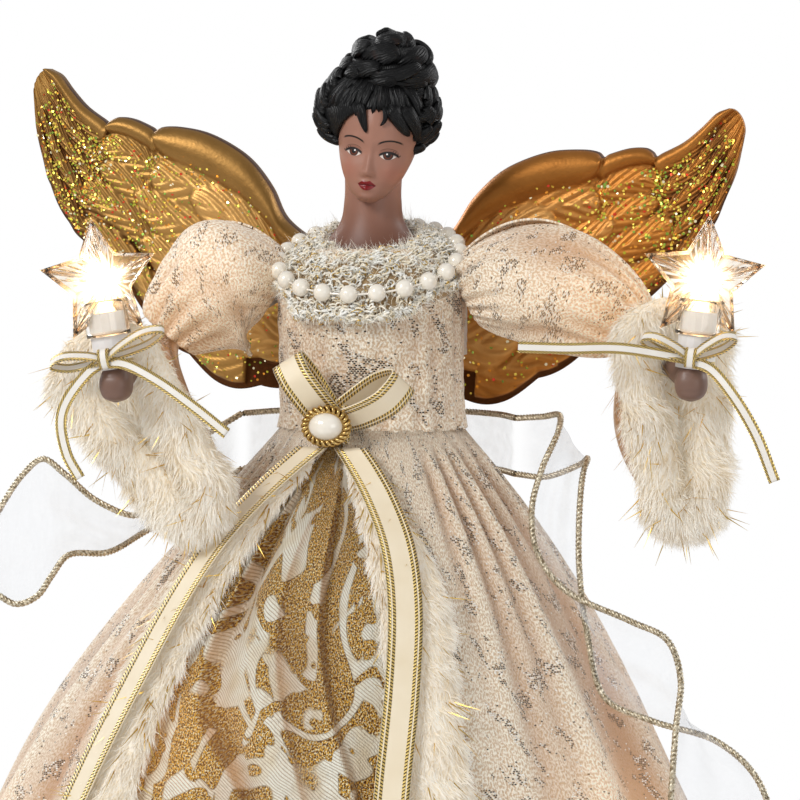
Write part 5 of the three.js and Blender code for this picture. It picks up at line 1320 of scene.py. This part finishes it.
for name, arm in ARMS.items():
    side = SIDES[name]
    shoulder = SHOULDER * [side, 1, 1]
    elbow, hand = (np.array(arm[key], float) for key in ("elbow", "hand"))
    star = hand + [0, 0, STAR_CENTRE]
    forearm = unit(hand - elbow)
    outward = unit(forearm * [1, 1, 0])
    mouth = hand - HAND_TO_MOUTH * forearm + arm["shift"]
    axes = cross_axes(outward, np.radians(arm["lean"]))
    puff_line = [shoulder + [2.6 * side, 0, 0], (shoulder + elbow) / 2 + [0, 0, PUFF_RISE], elbow]

    s = np.linspace(0, 1, 90)[:, None, None]
    turn = circle(161)[None, :]
    middle = bezier(puff_line, s)
    ahead = unit(bezier([puff_line[1] - puff_line[0], puff_line[2] - puff_line[1]], s))
    share = s[..., 0]
    full = np.sin(np.pi * share) ** 0.75
    seam = np.cos(17 * turn + 1.4 * np.sin(3 * turn)) * np.exp(-((share / 0.22) ** 2))
    gather = np.cos(15 * turn + 1.2 * np.sin(2 * turn)) * np.exp(-(((1 - share) / 0.3) ** 2))
    slack = 1.5 * ripple(turn * 2.6, share * 7, 6, PUFF_SEED + side) * full
    droop = 1.3 * np.cos(9 * turn + 4 * share + 1.5 * np.sin(2 * turn))
    droop = droop * np.clip(-np.cos(turn), 0, 1) * full
    fold = 0.9 * seam + 1.1 * gather + slack + droop
    reach = lerp(PUFF_END_RADIUS, PUFF_RADIUS, full) - 0.4 + fold
    puff_points = carried(middle, cross_axes(ahead), reach * np.sin(turn), reach * np.cos(turn))
    puff_uv = np.stack(np.broadcast_arrays(turn * PUFF_CLOTH[0], share * PUFF_CLOTH[1]), -1)
    # Its deep value paints shade into the inward gathers, and its glow paints the star's light on the puff.
    puff = cloth_piece(
        f"puff_{name}", puff_points, brocade, puff_uv, inside=middle[len(middle) // 2, 0],
        glow=star_glow(puff_points, star), deep=np.clip(0.05 - 0.3 * fold, 0, 1),
    )
    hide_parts(f"puff_sleeve_{name}")
    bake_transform(puff)
    puff_area = lay_flat(puff_points)

    into = unit(puff_line[2] - puff_line[1])
    start = elbow - 2 * into
    s = np.linspace(0, 1, 80)[:, None, None]
    path = bezier([start, start + 7 * into, mouth - 9 * outward, mouth], s)
    opened = smoothstep(s, 0.1, 1.0)
    bell_axes = [unit(lerp(first, last, opened)) for first, last in zip(cross_axes(into), axes)]
    crease = 0.8 * ripple(turn * 3, s[..., 0] * 5, 6, BELL_SEED + side) - 0.5
    wide, high = mouth_point(turn, crease)
    round_reach = PUFF_END_RADIUS - BELL_TUCK + crease
    wide = lerp(round_reach * np.sin(turn), wide, opened[..., 0])
    high = lerp(round_reach * np.cos(turn), high, opened[..., 0])
    bell_points = carried(path, bell_axes, wide, high)
    bell_uv = np.stack(np.broadcast_arrays(turn * BELL_CLOTH[0], s[..., 0] * BELL_CLOTH[1]), -1)
    # Its deep value paints shadow over nearly the whole bell, under the puff, and its glow paints part of
    # the star's light.
    bell = cloth_piece(
        f"bell_{name}", bell_points, brocade, bell_uv, inside=path[len(path) // 2, 0],
        glow=0.6 * star_glow(bell_points, star), deep=np.clip(0.75 - 0.5 * crease, 0, 1),
    )
    placed(bell, f"arm_{name}", "brocade", f"bell_sleeve_{name}")
    bell_area = lay_flat(bell_points)

    def cuff_surface(loop, section, share_of_pile):
        """The fur ring as a function of the places round the mouth and round its own section."""
        fat = CUFF_FUR_RADIUS * share_of_pile
        grow = fat * np.cos(section)
        wide, high = mouth_point(loop, np.where(grow < 0, CUFF_INNER_SWELL * grow, grow))
        level = CUFF_FUR_RADIUS + 0.4 + fat * np.sin(section)
        return carried(mouth + outward * level[..., None], axes, wide, high)

    def lining_surface(loop, share):
        """The fur that fills the mouth behind the ring, from its middle to its edge."""
        wide, high = mouth_point(loop, 0)
        low = (CUFF_RISE - CUFF_DROP) / 2
        bulge = 4.5 - 2.5 * share**2
        return carried(mouth + outward * bulge[..., None], axes, share * wide, low + share * (high - low))

    chance = np.random.default_rng(CUFF_SEED + side)
    loop, section = np.meshgrid(circle(121), circle(17), indexing="ij")
    backing = cuff_surface(loop, section, FUR_BACKING)
    lining = lining_surface(loop, section / (2 * np.pi))
    root_loop = chance.uniform(0, 2 * np.pi, CUFF_HAIRS)
    root_loop = root_loop + 0.46 * np.sin(2 * root_loop)
    root_section = chance.uniform(0, 2 * np.pi, CUFF_HAIRS)
    roots = cuff_surface(root_loop, root_section, FUR_BACKING)
    away = unit(roots - cuff_surface(root_loop, root_section, 0.05))
    lining_loop = chance.uniform(0, 2 * np.pi, LINING_HAIRS)
    lining_roots = lining_surface(lining_loop, chance.uniform(0, 1, LINING_HAIRS) ** 0.5)
    roots = np.concatenate([roots, lining_roots])
    away = np.concatenate([away, np.broadcast_to(outward, lining_roots.shape)])
    tuft = ripple(roots[:, 0] * 0.3, roots[:, 2] * 0.3, 6, CUFF_TUFT_SEED)
    comb = unit(np.stack([0.5 * tuft, -0.2 + 0 * tuft, -1 + 0.4 * tuft], -1))
    pile = chance.uniform(PILE_SHORT, PILE_LONG, len(roots))
    cuff, cuff_gold = fur_piece(
        f"cuff_fur_{name}", [backing, lining], roots, away, comb, pile, CUFF_THREADS, chance
    )
    placed(cuff, f"arm_{name}", "fur", f"fur_cuff_{name}")
    placed(cuff_gold, f"arm_{name}", "gold_metal")


# Hands, candles, lamps and star covers.
# Cast fists on the arm wires; white socket tubes in them, each with a lamp under a clear moulded star.
CANDLE_TILTS = {"right": math.radians(-9), "left": math.radians(6)}
STAR_TURNS = {"right": math.radians(38), "left": math.radians(20)}
STAR_REACH, STAR_NOTCH, STAR_THICKNESS = 16.5, 8.4, 15.0
STAR_NECK, STAR_NECK_FOOT, STAR_NECK_TOP = 5.7, 13.0, 22.0
STAR_WALL, SHINE_REACH, RIM_HEIGHT = 0.0009, 9.0, 1.0
RIB_COUNT, RIB_DEPTH = 7, 0.13
FIST_MIDDLE, FIST_HALF = np.array([0, -0.4, 0.6]), np.array([4.1, 4.5, 4.5])
FIST_FINGERS, WRIST_RADIUS = 4, 3.0
CANDLE_GLOW_Z, GLOW_FADE = 0.231, 0.016
CANDLE_GLOW, STAR_GLOW = (1.0, 0.8, 0.5, 1), (1.5, 1.05, 0.6, 1)

candle_plastic, sockets, where = mottled(
    "candle_plastic", (226, 222, 220), (240, 237, 234), 80.0, 2.0, 0.35, 0.5, Emission_Strength=0.2
)
# Painted light: the tube glows warm near its top, for the lamp's light coming through the plastic.
near_lamp = where.axis(2).above(CANDLE_GLOW_Z, GLOW_FADE)
feed(sockets["Emission Color"], mixed(near_lamp, BLACK, CANDLE_GLOW))
coat(candle_plastic, "candle_right", "candle_left")
coat(lamp_glass, "candle_lamp_right", "candle_lamp_left")
# The hands are the bust's brown resin, given a darker, greyer colour: painted shade.
shaded_hand_skin, _, _ = mottled("shaded_hand_skin", (108, 80, 68), (126, 98, 84), 180.0, 2.0, 0.42, 0.57, Coat_Weight=0.1)
around = circle(61)[None, :]
rise = np.linspace(-np.pi / 2, np.pi / 2, 41)[:, None]
knuckles = 1 + 0.05 * np.abs(np.cos(FIST_FINGERS * rise)) * np.clip(np.cos(around), 0, 1)
fist = on_oval((np.zeros(3), np.ones(3)), around, rise)
fist = FIST_MIDDLE + np.sign(fist) * np.abs(fist) ** 0.8 * FIST_HALF * knuckles[..., None]
for name, arm in ARMS.items():
    hand = np.array(arm["hand"], float)
    back = unit(np.array(arm["elbow"]) - hand)
    wrist_line = hand + FIST_MIDDLE + np.linspace(0, HAND_TO_MOUTH, 12)[:, None] * back
    wrist = sweep(wrist_line[None], WRIST_RADIUS, 24)
    fist_piece = mesh_piece(f"fist_{name}", shaded_hand_skin, *joined(patch(fist + hand), wrist))
    placed(fist_piece, f"arm_{name}", "skin", f"hand_{name}")

clear, sockets, where = finish("clear_star", Transmission_Weight=1.0, IOR=1.4, Emission_Strength=1.0)
feed(sockets["Roughness"], where.noise(500.0) * 0.03)
feed(sockets["Base Color"], mixed(attribute(where, "line"), srgb(255, 252, 247), srgb(232, 196, 150)))
# Painted light: the star glows round its middle by its near value, for the lamp's light spreading in the
# clear plastic.
feed(sockets["Emission Color"], mixed(attribute(where, "near"), BLACK, STAR_GLOW))

share = np.linspace(0, 1, 26)[:, None]
place = np.linspace(0, 10, 161)[None, :]
corner, between = np.divmod(place, 1)
from_point = corner % 2 == 0
near_reach = np.where(from_point, STAR_REACH, STAR_NOTCH)
far_reach = np.where(from_point, STAR_NOTCH, STAR_REACH)
near_turn, far_turn = corner * np.pi / 5, (corner + 1) * np.pi / 5
edge_x = lerp(near_reach * np.sin(near_turn), far_reach * np.sin(far_turn), between)
edge_z = lerp(near_reach * np.cos(near_turn), far_reach * np.cos(far_turn), between)
from_tip = np.where(from_point, between, 1 - between)
rib = RIB_DEPTH * np.cos(RIB_COUNT * np.pi * from_tip) * np.sin(np.pi * share) ** 0.5
half_thick = STAR_THICKNESS / 2 * (1 - share) + rib
star_front, star_back = (
    np.stack([share * edge_x, face * half_thick, STAR_CENTRE + share * edge_z], -1) for face in (-1, 1)
)
star_points = np.concatenate([star_front, star_back[::-1]])
ridges = smoothstep(1 - from_tip, 0.9, 1.0) * smoothstep(share, 0.35, 0.7)
edges = np.maximum(smoothstep(share, 0.9, 1.0), ridges)
ribs_dark = 0.5 * smoothstep(-np.cos(RIB_COUNT * np.pi * from_tip), 0.75, 1.0) * smoothstep(share, 0.3, 0.6)
line_values = np.maximum(edges, ribs_dark)
lamp_shine_values = np.clip(1 - np.hypot(share * edge_x, share * edge_z) / SHINE_REACH, 0, 1) ** 1.8
neck_z = np.linspace(STAR_NECK_FOOT, STAR_NECK_TOP, 8)[:, None]
neck_turn = circle(49)[None, :]
neck_points = np.stack(
    np.broadcast_arrays(STAR_NECK * np.sin(neck_turn), -STAR_NECK * np.cos(neck_turn), neck_z), -1
)
neck_line = 1 - smoothstep(neck_z, STAR_NECK_FOOT, STAR_NECK_FOOT + RIM_HEIGHT) + 0 * neck_turn
for name, tilt in CANDLE_TILTS.items():
    star_body = turned(star_points, 0, 0, STAR_TURNS[name])
    points, faces = joined(patch(star_body), patch(neck_points))
    points = turned(points, 0, tilt, 0) + np.array(ARMS[name]["hand"])
    star = mesh_piece(
        f"star_{name}_shell", clear, points, faces, inside=points.mean(0),
        near=np.concatenate([lamp_shine_values.ravel(), lamp_shine_values[::-1].ravel(), 0 * neck_line.ravel()]),
        line=np.concatenate([line_values.ravel(), line_values[::-1].ravel(), neck_line.ravel()]),
    )
    thicken(star, STAR_WALL, -1)
    placed(star, f"star_{name}", "clear", f"star_cover_{name}")


# Candle bows.
# Narrow ivory ribbon with gold edges, tied round each candle's foot.
CANDLE_BOTTOM, CANDLE_RADIUS, CANDLE_RIBBON = 4.4, 4.7, 2.9
BOW_HEIGHT, BAND_GAP, KNOT_OUT = 3.0, 0.4, 1.6
SMALL_LOOP_SWELL, SMALL_TIE_DEEP, SMALL_TIE_HIGH = 2.4, 1.3, 2.4
BOWS = {
    "right": {
        "loops": [(-14, 0.5), (17, 5)],
        "tails": [
            [(-5, -7.2, -3), (-13, -8, -12), (-13.5, -8, -22), (-11, -8, -29)],
            [(5, -7.2, -2), (13, -9, -7), (22, -10, -15), (30, -11, -23)],
        ],
    },
    "left": {
        "loops": [(-12.5, 3.6), (11, 6.5)],
        "tails": [
            [(-6, -7.2, 0), (-18, -10, 0.5), (-31, -12, -1), (-43, -13, -2)],
            [(5, -7.2, -2), (12, -9, -8), (19, -10, -17), (25, -11, -28)],
        ],
    },
}
narrow_satin = ribbon_finish("edged_satin", (0.76,), 0.25, srgb(226, 219, 206), srgb(246, 242, 234))
for name, bow_shape in BOWS.items():
    level = CANDLE_BOTTOM + BOW_HEIGHT
    inner = CANDLE_RADIUS + BAND_GAP
    knot = np.array([0, -inner - KNOT_OUT, level])
    wrap_turn = circle(49)
    band = np.stack([inner * np.sin(wrap_turn), -inner * np.cos(wrap_turn), level + 0 * wrap_turn], -1)
    strips = [ribbon(band, np.broadcast_to([0, 0, 1.0], band.shape), CANDLE_RIBBON)]
    strips.append(tie(knot, SMALL_TIE_DEEP, SMALL_TIE_HIGH, CANDLE_RIBBON, 49))
    for x, z in bow_shape["loops"]:
        strips.append(bow_loop(knot, (x, -1.5, z), (0, -0.7, 0.7), SMALL_LOOP_SWELL, CANDLE_RIBBON, 40))
    for i, line in enumerate(bow_shape["tails"]):
        first = knot + [0, 0.7 - i, -0.5 - 0.4 * i]
        path = route([first] + [(x, y, level + z) for x, y, z in line], 50)
        strips.append(ribbon(path, np.cross(np.gradient(path, axis=0), FORWARD), CANDLE_RIBBON))
    hand = np.array(ARMS[name]["hand"])
    strips = [(turned(points, 0, CANDLE_TILTS[name], 0) + hand, uv) for points, uv in strips]
    candle_bow = ribbon_piece(f"candle_bow_{name}_satin", strips, narrow_satin)
    placed(candle_bow, f"arm_{name}", "ribbon", f"candle_bow_{name}")


# Wings.
# Moulded hollow plastic, painted antique gold, with rows of feathers in relief and glitter glued over them.
WING_LEAD = [
    (8, 2), (16, 6.5), (23.8, 13.4), (28.5, 21.5), (34.5, 28.3),
    (41, 32.5), (49, 35.6), (57, 36.6), (61.4, 36.2), (63.2, 34.9),
    (65, 36), (70, 37.8), (74, 38.2), (76.2, 37.3), (77.4, 36.1),
    (79.2, 37.2), (84.5, 40.4), (89, 44.6), (92.6, 48.6), (95.5, 50),
]
WING_TRAIL = [
    (7, -23), (13, -28), (20, -31.5), (27, -33), (34, -33),
    (41, -31), (47.5, -27.5), (53.5, -23.5), (59.5, -18.5), (65, -13),
    (70, -8), (75, -3.5), (80, 0.5), (84.5, 4.5), (87.2, 8.6),
    (90.8, 13), (94.3, 19), (96.3, 25.5), (98.6, 33), (99.6, 42),
]
WING_PIVOT = np.array([10.0, TORSO_TOP - 3])
WING_TILT, WING_SPREAD = math.radians(3.8), 6.0
WING_SHIFT, WING_BACK_Y, WING_SWEEP = -3.0, 25.0, 6.0
WING_DEEP, WING_REAR, WING_SCALLOPS = 5.0, 8.2, 6
WING_TIP_ROUND, LOBE_PAINT, PAINT_HEIGHT = 2.6, 0.66, 2.4
WING_INSIDE = np.array([50.0, 1.0, 6.5])
WING_LOBES = [
    {"from": -0.1, "to": 0.474, "wide": 0.2, "high": 4.6},
    {"from": 0.43, "to": 0.737, "wide": 0.13, "high": 3.2},
    {"from": 0.7, "to": 1.12, "wide": 0.17, "high": 2.6},
]
FEATHER_ROWS = [
    {"tip": 0.30, "long": 0.26, "at": [0.3, 0.5, 0.74], "half": 0.12, "tier": 2.2},
    {"tip": 0.50, "long": 0.3, "at": [0.25, 0.43, 0.63, 0.86], "half": 0.11, "tier": 1.5},
    {"tip": 0.70, "long": 0.32, "at": [0.22, 0.4, 0.6, 0.84], "half": 0.11, "tier": 0.85},
    {"tip": 1.06, "long": 0.5, "at": [0.14, 0.32, 0.5, 0.7, 0.9], "half": 0.1, "tier": 0.25},
]
GLITTER_COUNTS = {"right": 1700, "left": 1100}
GLITTER_RADIUS = {"right": 0.42, "left": 0.5}
GLITTER_COLOURS = [
    (250, 222, 96), (196, 196, 66), (140, 176, 74), (238, 158, 58), (228, 70, 50), (252, 240, 196),
]
GLITTER_SHARES = [0.38, 0.2, 0.12, 0.17, 0.05, 0.08]
GLITTER_SEED, GLITTER_LIFT = 80, 0.12


def feather_relief(s, t):
    """Height of the feathers over the wing: rows of rounded scales that point to its tip, inner rows on top.

    Each has a domed section, a quill down its middle and barbs that slant away from it.
    """
    height = np.zeros(np.broadcast(s, t).shape)
    for row in FEATHER_ROWS:
        for number, middle in enumerate(row["at"]):
            tip = row["tip"] + 0.035 * math.cos(2.4 * number + 20 * row["tip"])
            p = (s - tip) / row["long"] + 1
            profile = np.sqrt(np.clip(1 - (np.clip(p - 0.55, 0, None) / 0.45) ** 2.2, 0, 1))
            q = (t - middle) / (row["half"] * np.maximum(profile, 0.02))
            inside = (np.abs(q) < 1) & (p > 0) & (p < 1)
            dome = 1.5 * np.sqrt(np.clip(1 - q**2, 0, 1)) * (0.5 + 0.5 * np.clip(p, 0, 1))
            quill = 0.35 * np.exp(-((q / 0.12) ** 2))
            barbs = 0.24 * np.sin(2 * np.pi * (row["long"] * 22 * p - 2.4 * np.abs(q)))
            height = np.where(inside, np.maximum(height, row["tier"] + dome + quill + barbs), height)
    return height


def lobe_relief(s, t):
    """Height of the rolled leading edge: three half-round lobes, each with a rounded tip at its notch."""
    height = np.zeros(np.broadcast(s, t).shape)
    for lobe in WING_LOBES:
        p = np.clip((s - lobe["from"]) / (lobe["to"] - lobe["from"]), 0, 1)
        reach = lobe["wide"] * np.sqrt(np.clip(1 - np.clip((p - 0.6) / 0.4, 0, None) ** 2.4, 0, 1))
        q = t / np.maximum(reach, 0.001)
        roll = lobe["high"] * np.sqrt(np.clip(1 - (2 * q - 1) ** 2, 0, 1))
        inside = (s <= lobe["to"]) & (s >= lobe["from"]) & (q < 1)
        height = np.where(inside, np.maximum(height, roll), height)
    return height


def wing_place(side, u, w, back):
    """A point of the wing's own plane, u outwards and w over the torso's top, where the wing is."""
    tilt = -side * WING_TILT
    du, dw = u - WING_PIVOT[0], w + TORSO_TOP - WING_PIVOT[1]
    spread = -side * WING_SPREAD * smoothstep(u, 8, 26)
    turned_u = WING_PIVOT[0] + du * np.cos(tilt) - dw * np.sin(tilt) + spread
    turned_w = WING_PIVOT[1] + du * np.sin(tilt) + dw * np.cos(tilt)
    y = WING_BACK_Y + WING_SWEEP * np.clip(u / 100, 0, None) ** 1.3 + back
    return np.stack([side * turned_u + WING_SHIFT, y, turned_w], -1)


def wing_front(s, t):
    """The wing's front: place in its own plane, depth and how high the relief stands there for the paint."""
    knots = np.linspace(0, 1, len(WING_LEAD))
    lead, trail = through(s, knots, WING_LEAD), through(s, knots, WING_TRAIL)
    reach = t * (1 + 0.035 * np.abs(np.sin(WING_SCALLOPS * np.pi * s)) * t)
    u = lerp(lead[..., 0], trail[..., 0], reach)
    w = lerp(lead[..., 1], trail[..., 1], reach)
    round_tip = WING_TIP_ROUND * np.sqrt(np.clip(1 - (2 * t - 1) ** 2, 0, 1)) * smoothstep(s, 0.9, 1)
    at_tip = 0.75 * smoothstep(s, 0.86, 0.99)
    feathers = feather_relief(s, t) * (1 - at_tip)
    lobes = lobe_relief(s, t)
    relief = np.maximum(feathers, lobes)
    edge = 1 - 0.75 * smoothstep(t, 0.96, 1)
    paint = np.where(lobes > feathers, LOBE_PAINT, np.maximum(feathers / PAINT_HEIGHT, at_tip))
    return u + 0.8 * round_tip, w + 0.6 * round_tip, WING_DEEP - relief * edge, paint


wing_paint, sockets, where = finish("antique_bronze", Metallic=0.75)
age = where.noise(140.0, 4.0)
raised = attribute(where, "relief")
on_left = where.axis(0).above(0.0, 0.02)
# Both wings are one paint; the left is painted a redder bronze than the right: a painted difference of light
# between the two sides.
bronze_as_lit_on_right = mixed(age, srgb(154, 114, 58), srgb(188, 144, 80))
bronze_as_lit_on_left = mixed(age, srgb(174, 108, 44), srgb(208, 140, 66))
bronze = mixed(on_left, bronze_as_lit_on_right, bronze_as_lit_on_left)
# The highest relief is painted pale gold, a painted highlight on the feathers' crests; where the relief is
# low the paint turns dark brown.
bronze = mixed(raised.above(1.2, 0.6) * 0.7, bronze, srgb(226, 174, 104))
feed(sockets["Base Color"], mixed(raised.above(0.55, 0.5), srgb(86, 50, 18), bronze))
feed(sockets["Roughness"], age * 0.2 + 0.34)
feed(sockets["Normal"], where.noise(900.0, 3.0).bump(0.0001))
glitter, sockets, where = finish("glitter", Metallic=0.6, Emission_Strength=0.12)
foil = attribute(where, "foil")
shade = srgb(*GLITTER_COLOURS[0])
for number, levels in enumerate(GLITTER_COLOURS[1:]):
    shade = mixed(foil.above(number + 0.5, 0.01), shade, srgb(*levels))
feed(sockets["Base Color"], shade)
# Painted light: the flakes glow faintly in their own colours, for their glints.
feed(sockets["Emission Color"], shade)
feed(sockets["Roughness"], where.noise(900.0) * 0.15 + 0.15)
for name, side in SIDES.items():
    s = np.concatenate([[0.0], np.linspace(0, 1, 260), [1.0]])[:, None]
    t = np.linspace(0, 1, 108)[None, :] ** 1.1
    u, w, depth, paint = wing_front(s + 0 * t, t + 0 * s)
    front_side = wing_place(side, u, w, depth)
    rear_side = wing_place(side, u, w, WING_REAR + 0 * u)[:, ::4]
    ends = np.zeros(s.shape)
    ends[[0, -1]] = 1
    rear_side = lerp(rear_side, front_side[:, ::4], ends[..., None])
    skin_points = np.concatenate([front_side, rear_side[:, ::-1]], 1)
    paint_value = np.concatenate([paint, LOBE_PAINT + 0 * rear_side[..., 0]], 1)
    wing = mesh_piece(
        f"wing_{name}_moulding", wing_paint, skin_points, grid(*skin_points.shape[:2], closed=True),
        inside=wing_place(side, *WING_INSIDE), relief=paint_value,
    )
    placed(wing, "figure", "wing_bronze", f"wing_{name}")
    chance = np.random.default_rng(GLITTER_SEED + side)
    count = GLITTER_COUNTS[name]
    flake_s = chance.beta(1.5, 1.3, count) * 0.88 + 0.08
    flake_t = chance.uniform(0.14, 0.97, count)
    u, w, depth, _ = wing_front(flake_s, flake_t)
    middle = wing_place(side, u, w, depth - GLITTER_LIFT)
    way = unit(FORWARD + chance.normal(0, 0.3, (count, 3)))
    first = unit(np.cross(way, [0, 0, 1.0]))
    second = np.cross(way, first)
    six = np.arange(6)[:, None] * np.pi / 3
    size = GLITTER_RADIUS[name] * chance.uniform(0.6, 1.0, (count, 1, 1))
    flakes = middle[:, None, :] + size * (np.cos(six) * first[:, None] + np.sin(six) * second[:, None])
    flake_faces = np.arange(count * 6).reshape(-1, 6)
    foil_kind = np.repeat(chance.choice(len(GLITTER_COLOURS), count, p=GLITTER_SHARES), 6).astype(float)
    specks = mesh_piece(f"wing_{name}_glitter", glitter, flakes, flake_faces, weld=False, foil=foil_kind)
    placed(specks, "figure", "wing_bronze")


# Shawl and its edge cords.
# A stole of very sheer organza behind the waist and over both forearms, a wired gold cord on each edge.
SHAWL_TOP, SHAWL_FOOT, SHAWL_GAP = 201.0, 186.0, 2.2
END_DEGREES, END_SHIFT = 75, 0.4
STRAND_RADIUS, STRAND_ORBIT, STRAND_TURN = 0.46, 0.44, 3.4
JOIN_SHARE = 0.05
SHAWL_STEPS, ON_ARM_STEP = 320, 130
SHAWL_SEED, SHAWL_CLOTH, BILLOW = 90, (180, 26), 2.2
BACK_DEGREES = [105, 130, 155, 180, 205, 230, 255]
SHAWL_EDGES = {
    "left": [
        [(46, 2, 202), (52, -6, 203), (53, -14, 199), (50, -20, 190),
         (48, -23, 180), (50, -26, 169), (58, -30, 160),
         (76, -35, 153), (86, -39, 149), (90, -43, 140), (89.5, -47, 128), (89, -51, 112), (88, -53, 92)],
        [(47, 3, 186), (57, -2, 190), (60, -9, 192), (60, -15, 189),
         (60, -20, 181), (61, -26, 165), (64, -30, 148),
         (69, -33, 133), (82, -37, 128), (99, -41, 124), (109, -43, 116), (114, -45, 104), (115, -45, 90)],
    ],
    "right": [
        [(-50, 0, 193), (-58, -14, 184), (-58, -24, 176), (-68, -28, 180), (-76, -30, 187), (-82, -30, 191),
         (-88, -28, 187), (-95, -26, 178), (-102, -24, 166)],
        [(-50, 1, 177), (-60, -13, 170), (-66, -25, 166), (-74, -34, 166), (-77, -39, 161), (-80, -42, 156),
         (-85, -44, 154), (-92, -44, 157), (-99, -43, 156)],
    ],
}


def rope(path):
    """A cord of three strands: each a tube that winds round the path, on axes carried without twist."""
    ahead = unit(np.gradient(path, axis=0))
    side = np.zeros_like(path)
    last = unit(np.cross(ahead[0], [0.3, 0.5, 0.8]))
    for k, way in enumerate(ahead):
        last = unit(last - way * np.dot(last, way))
        side[k] = last
    up = np.cross(ahead, side)
    wind = run(path)[None, :] * (2 * np.pi / STRAND_TURN) + np.arange(3)[:, None] * 2 * np.pi / 3
    lines = path + STRAND_ORBIT * (np.cos(wind)[..., None] * side + np.sin(wind)[..., None] * up)
    return sweep(lines, STRAND_RADIUS, 6)


organza, sockets, where = finish("organza", Sheen_Weight=0.6, Sheen_Roughness=0.3, Specular_IOR_Level=0.4)
cloth = own_uv(where)
threads = cloth.noise(0.16, 3.0)
crossing = cloth.noise(3.0, 1.0)
feed(sockets["Base Color"], mixed(threads, srgb(206, 212, 222), srgb(232, 235, 240)))
feed(sockets["Alpha"], (threads * 0.26 + crossing * 0.08 + 0.05) * attribute(where, "whole"))
feed(sockets["Roughness"], threads * 0.2 + 0.3)
feed(sockets["Normal"], cloth.noise(2.0, 3.0).bump(0.0003))
cord_yarn, sockets, where = finish("wired_cord", Metallic=0.7)
lurex = where.noise(1400.0, 3.0)
feed(sockets["Base Color"], mixed(lurex.above(0.5, 0.3), srgb(140, 122, 92), srgb(240, 230, 206)))
feed(sockets["Roughness"], lurex * 0.3 + 0.25)
behind = np.radians(BACK_DEGREES)


def waist_places(height):
    """The course behind the waist, at one height."""
    points = skirt_point(behind, SHAWL_FOOT + 0 * behind, SHAWL_GAP)
    points[:, 2] = height
    return points


def waist_end(side, height):
    """Where that course ends at one side, just clear of it."""
    end = skirt_point(np.radians(180 - side * END_DEGREES), SHAWL_FOOT, SHAWL_GAP)
    return np.array([end[0] + END_SHIFT * side, end[1] - END_SHIFT, height])


shawl_lines = {"back": [waist_places(SHAWL_TOP), waist_places(SHAWL_FOOT)]}
for name, side in SIDES.items():
    upper, lower = SHAWL_EDGES[name]
    shawl_lines[name] = [[waist_end(side, SHAWL_TOP)] + upper, [waist_end(side, SHAWL_FOOT)] + lower]
for name, lines in shawl_lines.items():
    upper, lower = (route(line, SHAWL_STEPS) for line in lines)
    t = np.linspace(0.02, 0.98, 25)[None, :, None]
    down = lower - upper
    normal = unit(np.cross(np.gradient(upper, axis=0) + np.gradient(lower, axis=0), down))[:, None, :]
    far = np.linspace(0, 1, SHAWL_STEPS)[:, None]
    share = t[..., 0]
    waves = BILLOW * ripple(share * 7, far * 14, 5, SHAWL_SEED) * np.sin(np.pi * far)
    billow = np.sin(np.pi * share) * waves
    sheet_points = upper[:, None, :] + down[:, None, :] * t + normal * billow[..., None]
    uv = np.stack(np.broadcast_arrays(far * SHAWL_CLOTH[0], share * SHAWL_CLOTH[1]), -1)
    from_join = np.minimum(far, 1 - far) if name == "back" else far
    whole = smoothstep(from_join + 0 * share, 0, JOIN_SHARE)
    veil = mesh_piece(f"shawl_{name}_organza", organza, *patch(sheet_points, uv), whole=whole)
    edges = []
    for edge, path in (("upper", upper), ("lower", lower)):
        cord = mesh_piece(f"shawl_{name}_cord_{edge}", cord_yarn, *rope(path))
        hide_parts(f"shawl_cord_{edge}_{name}")
        edges.append(cord)
    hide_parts(f"shawl_{name}")
    for obj in [veil] + edges:
        if name == "back":
            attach(obj, "figure")
        else:
            start = (upper[0] + lower[0]) / 2 * MM
            end = (upper[ON_ARM_STEP] + lower[ON_ARM_STEP]) / 2 * MM
            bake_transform(obj)
    size = lay_flat(sheet_points)
    long = float(run((upper + lower) / 2)[-1] * MM)
    size / long
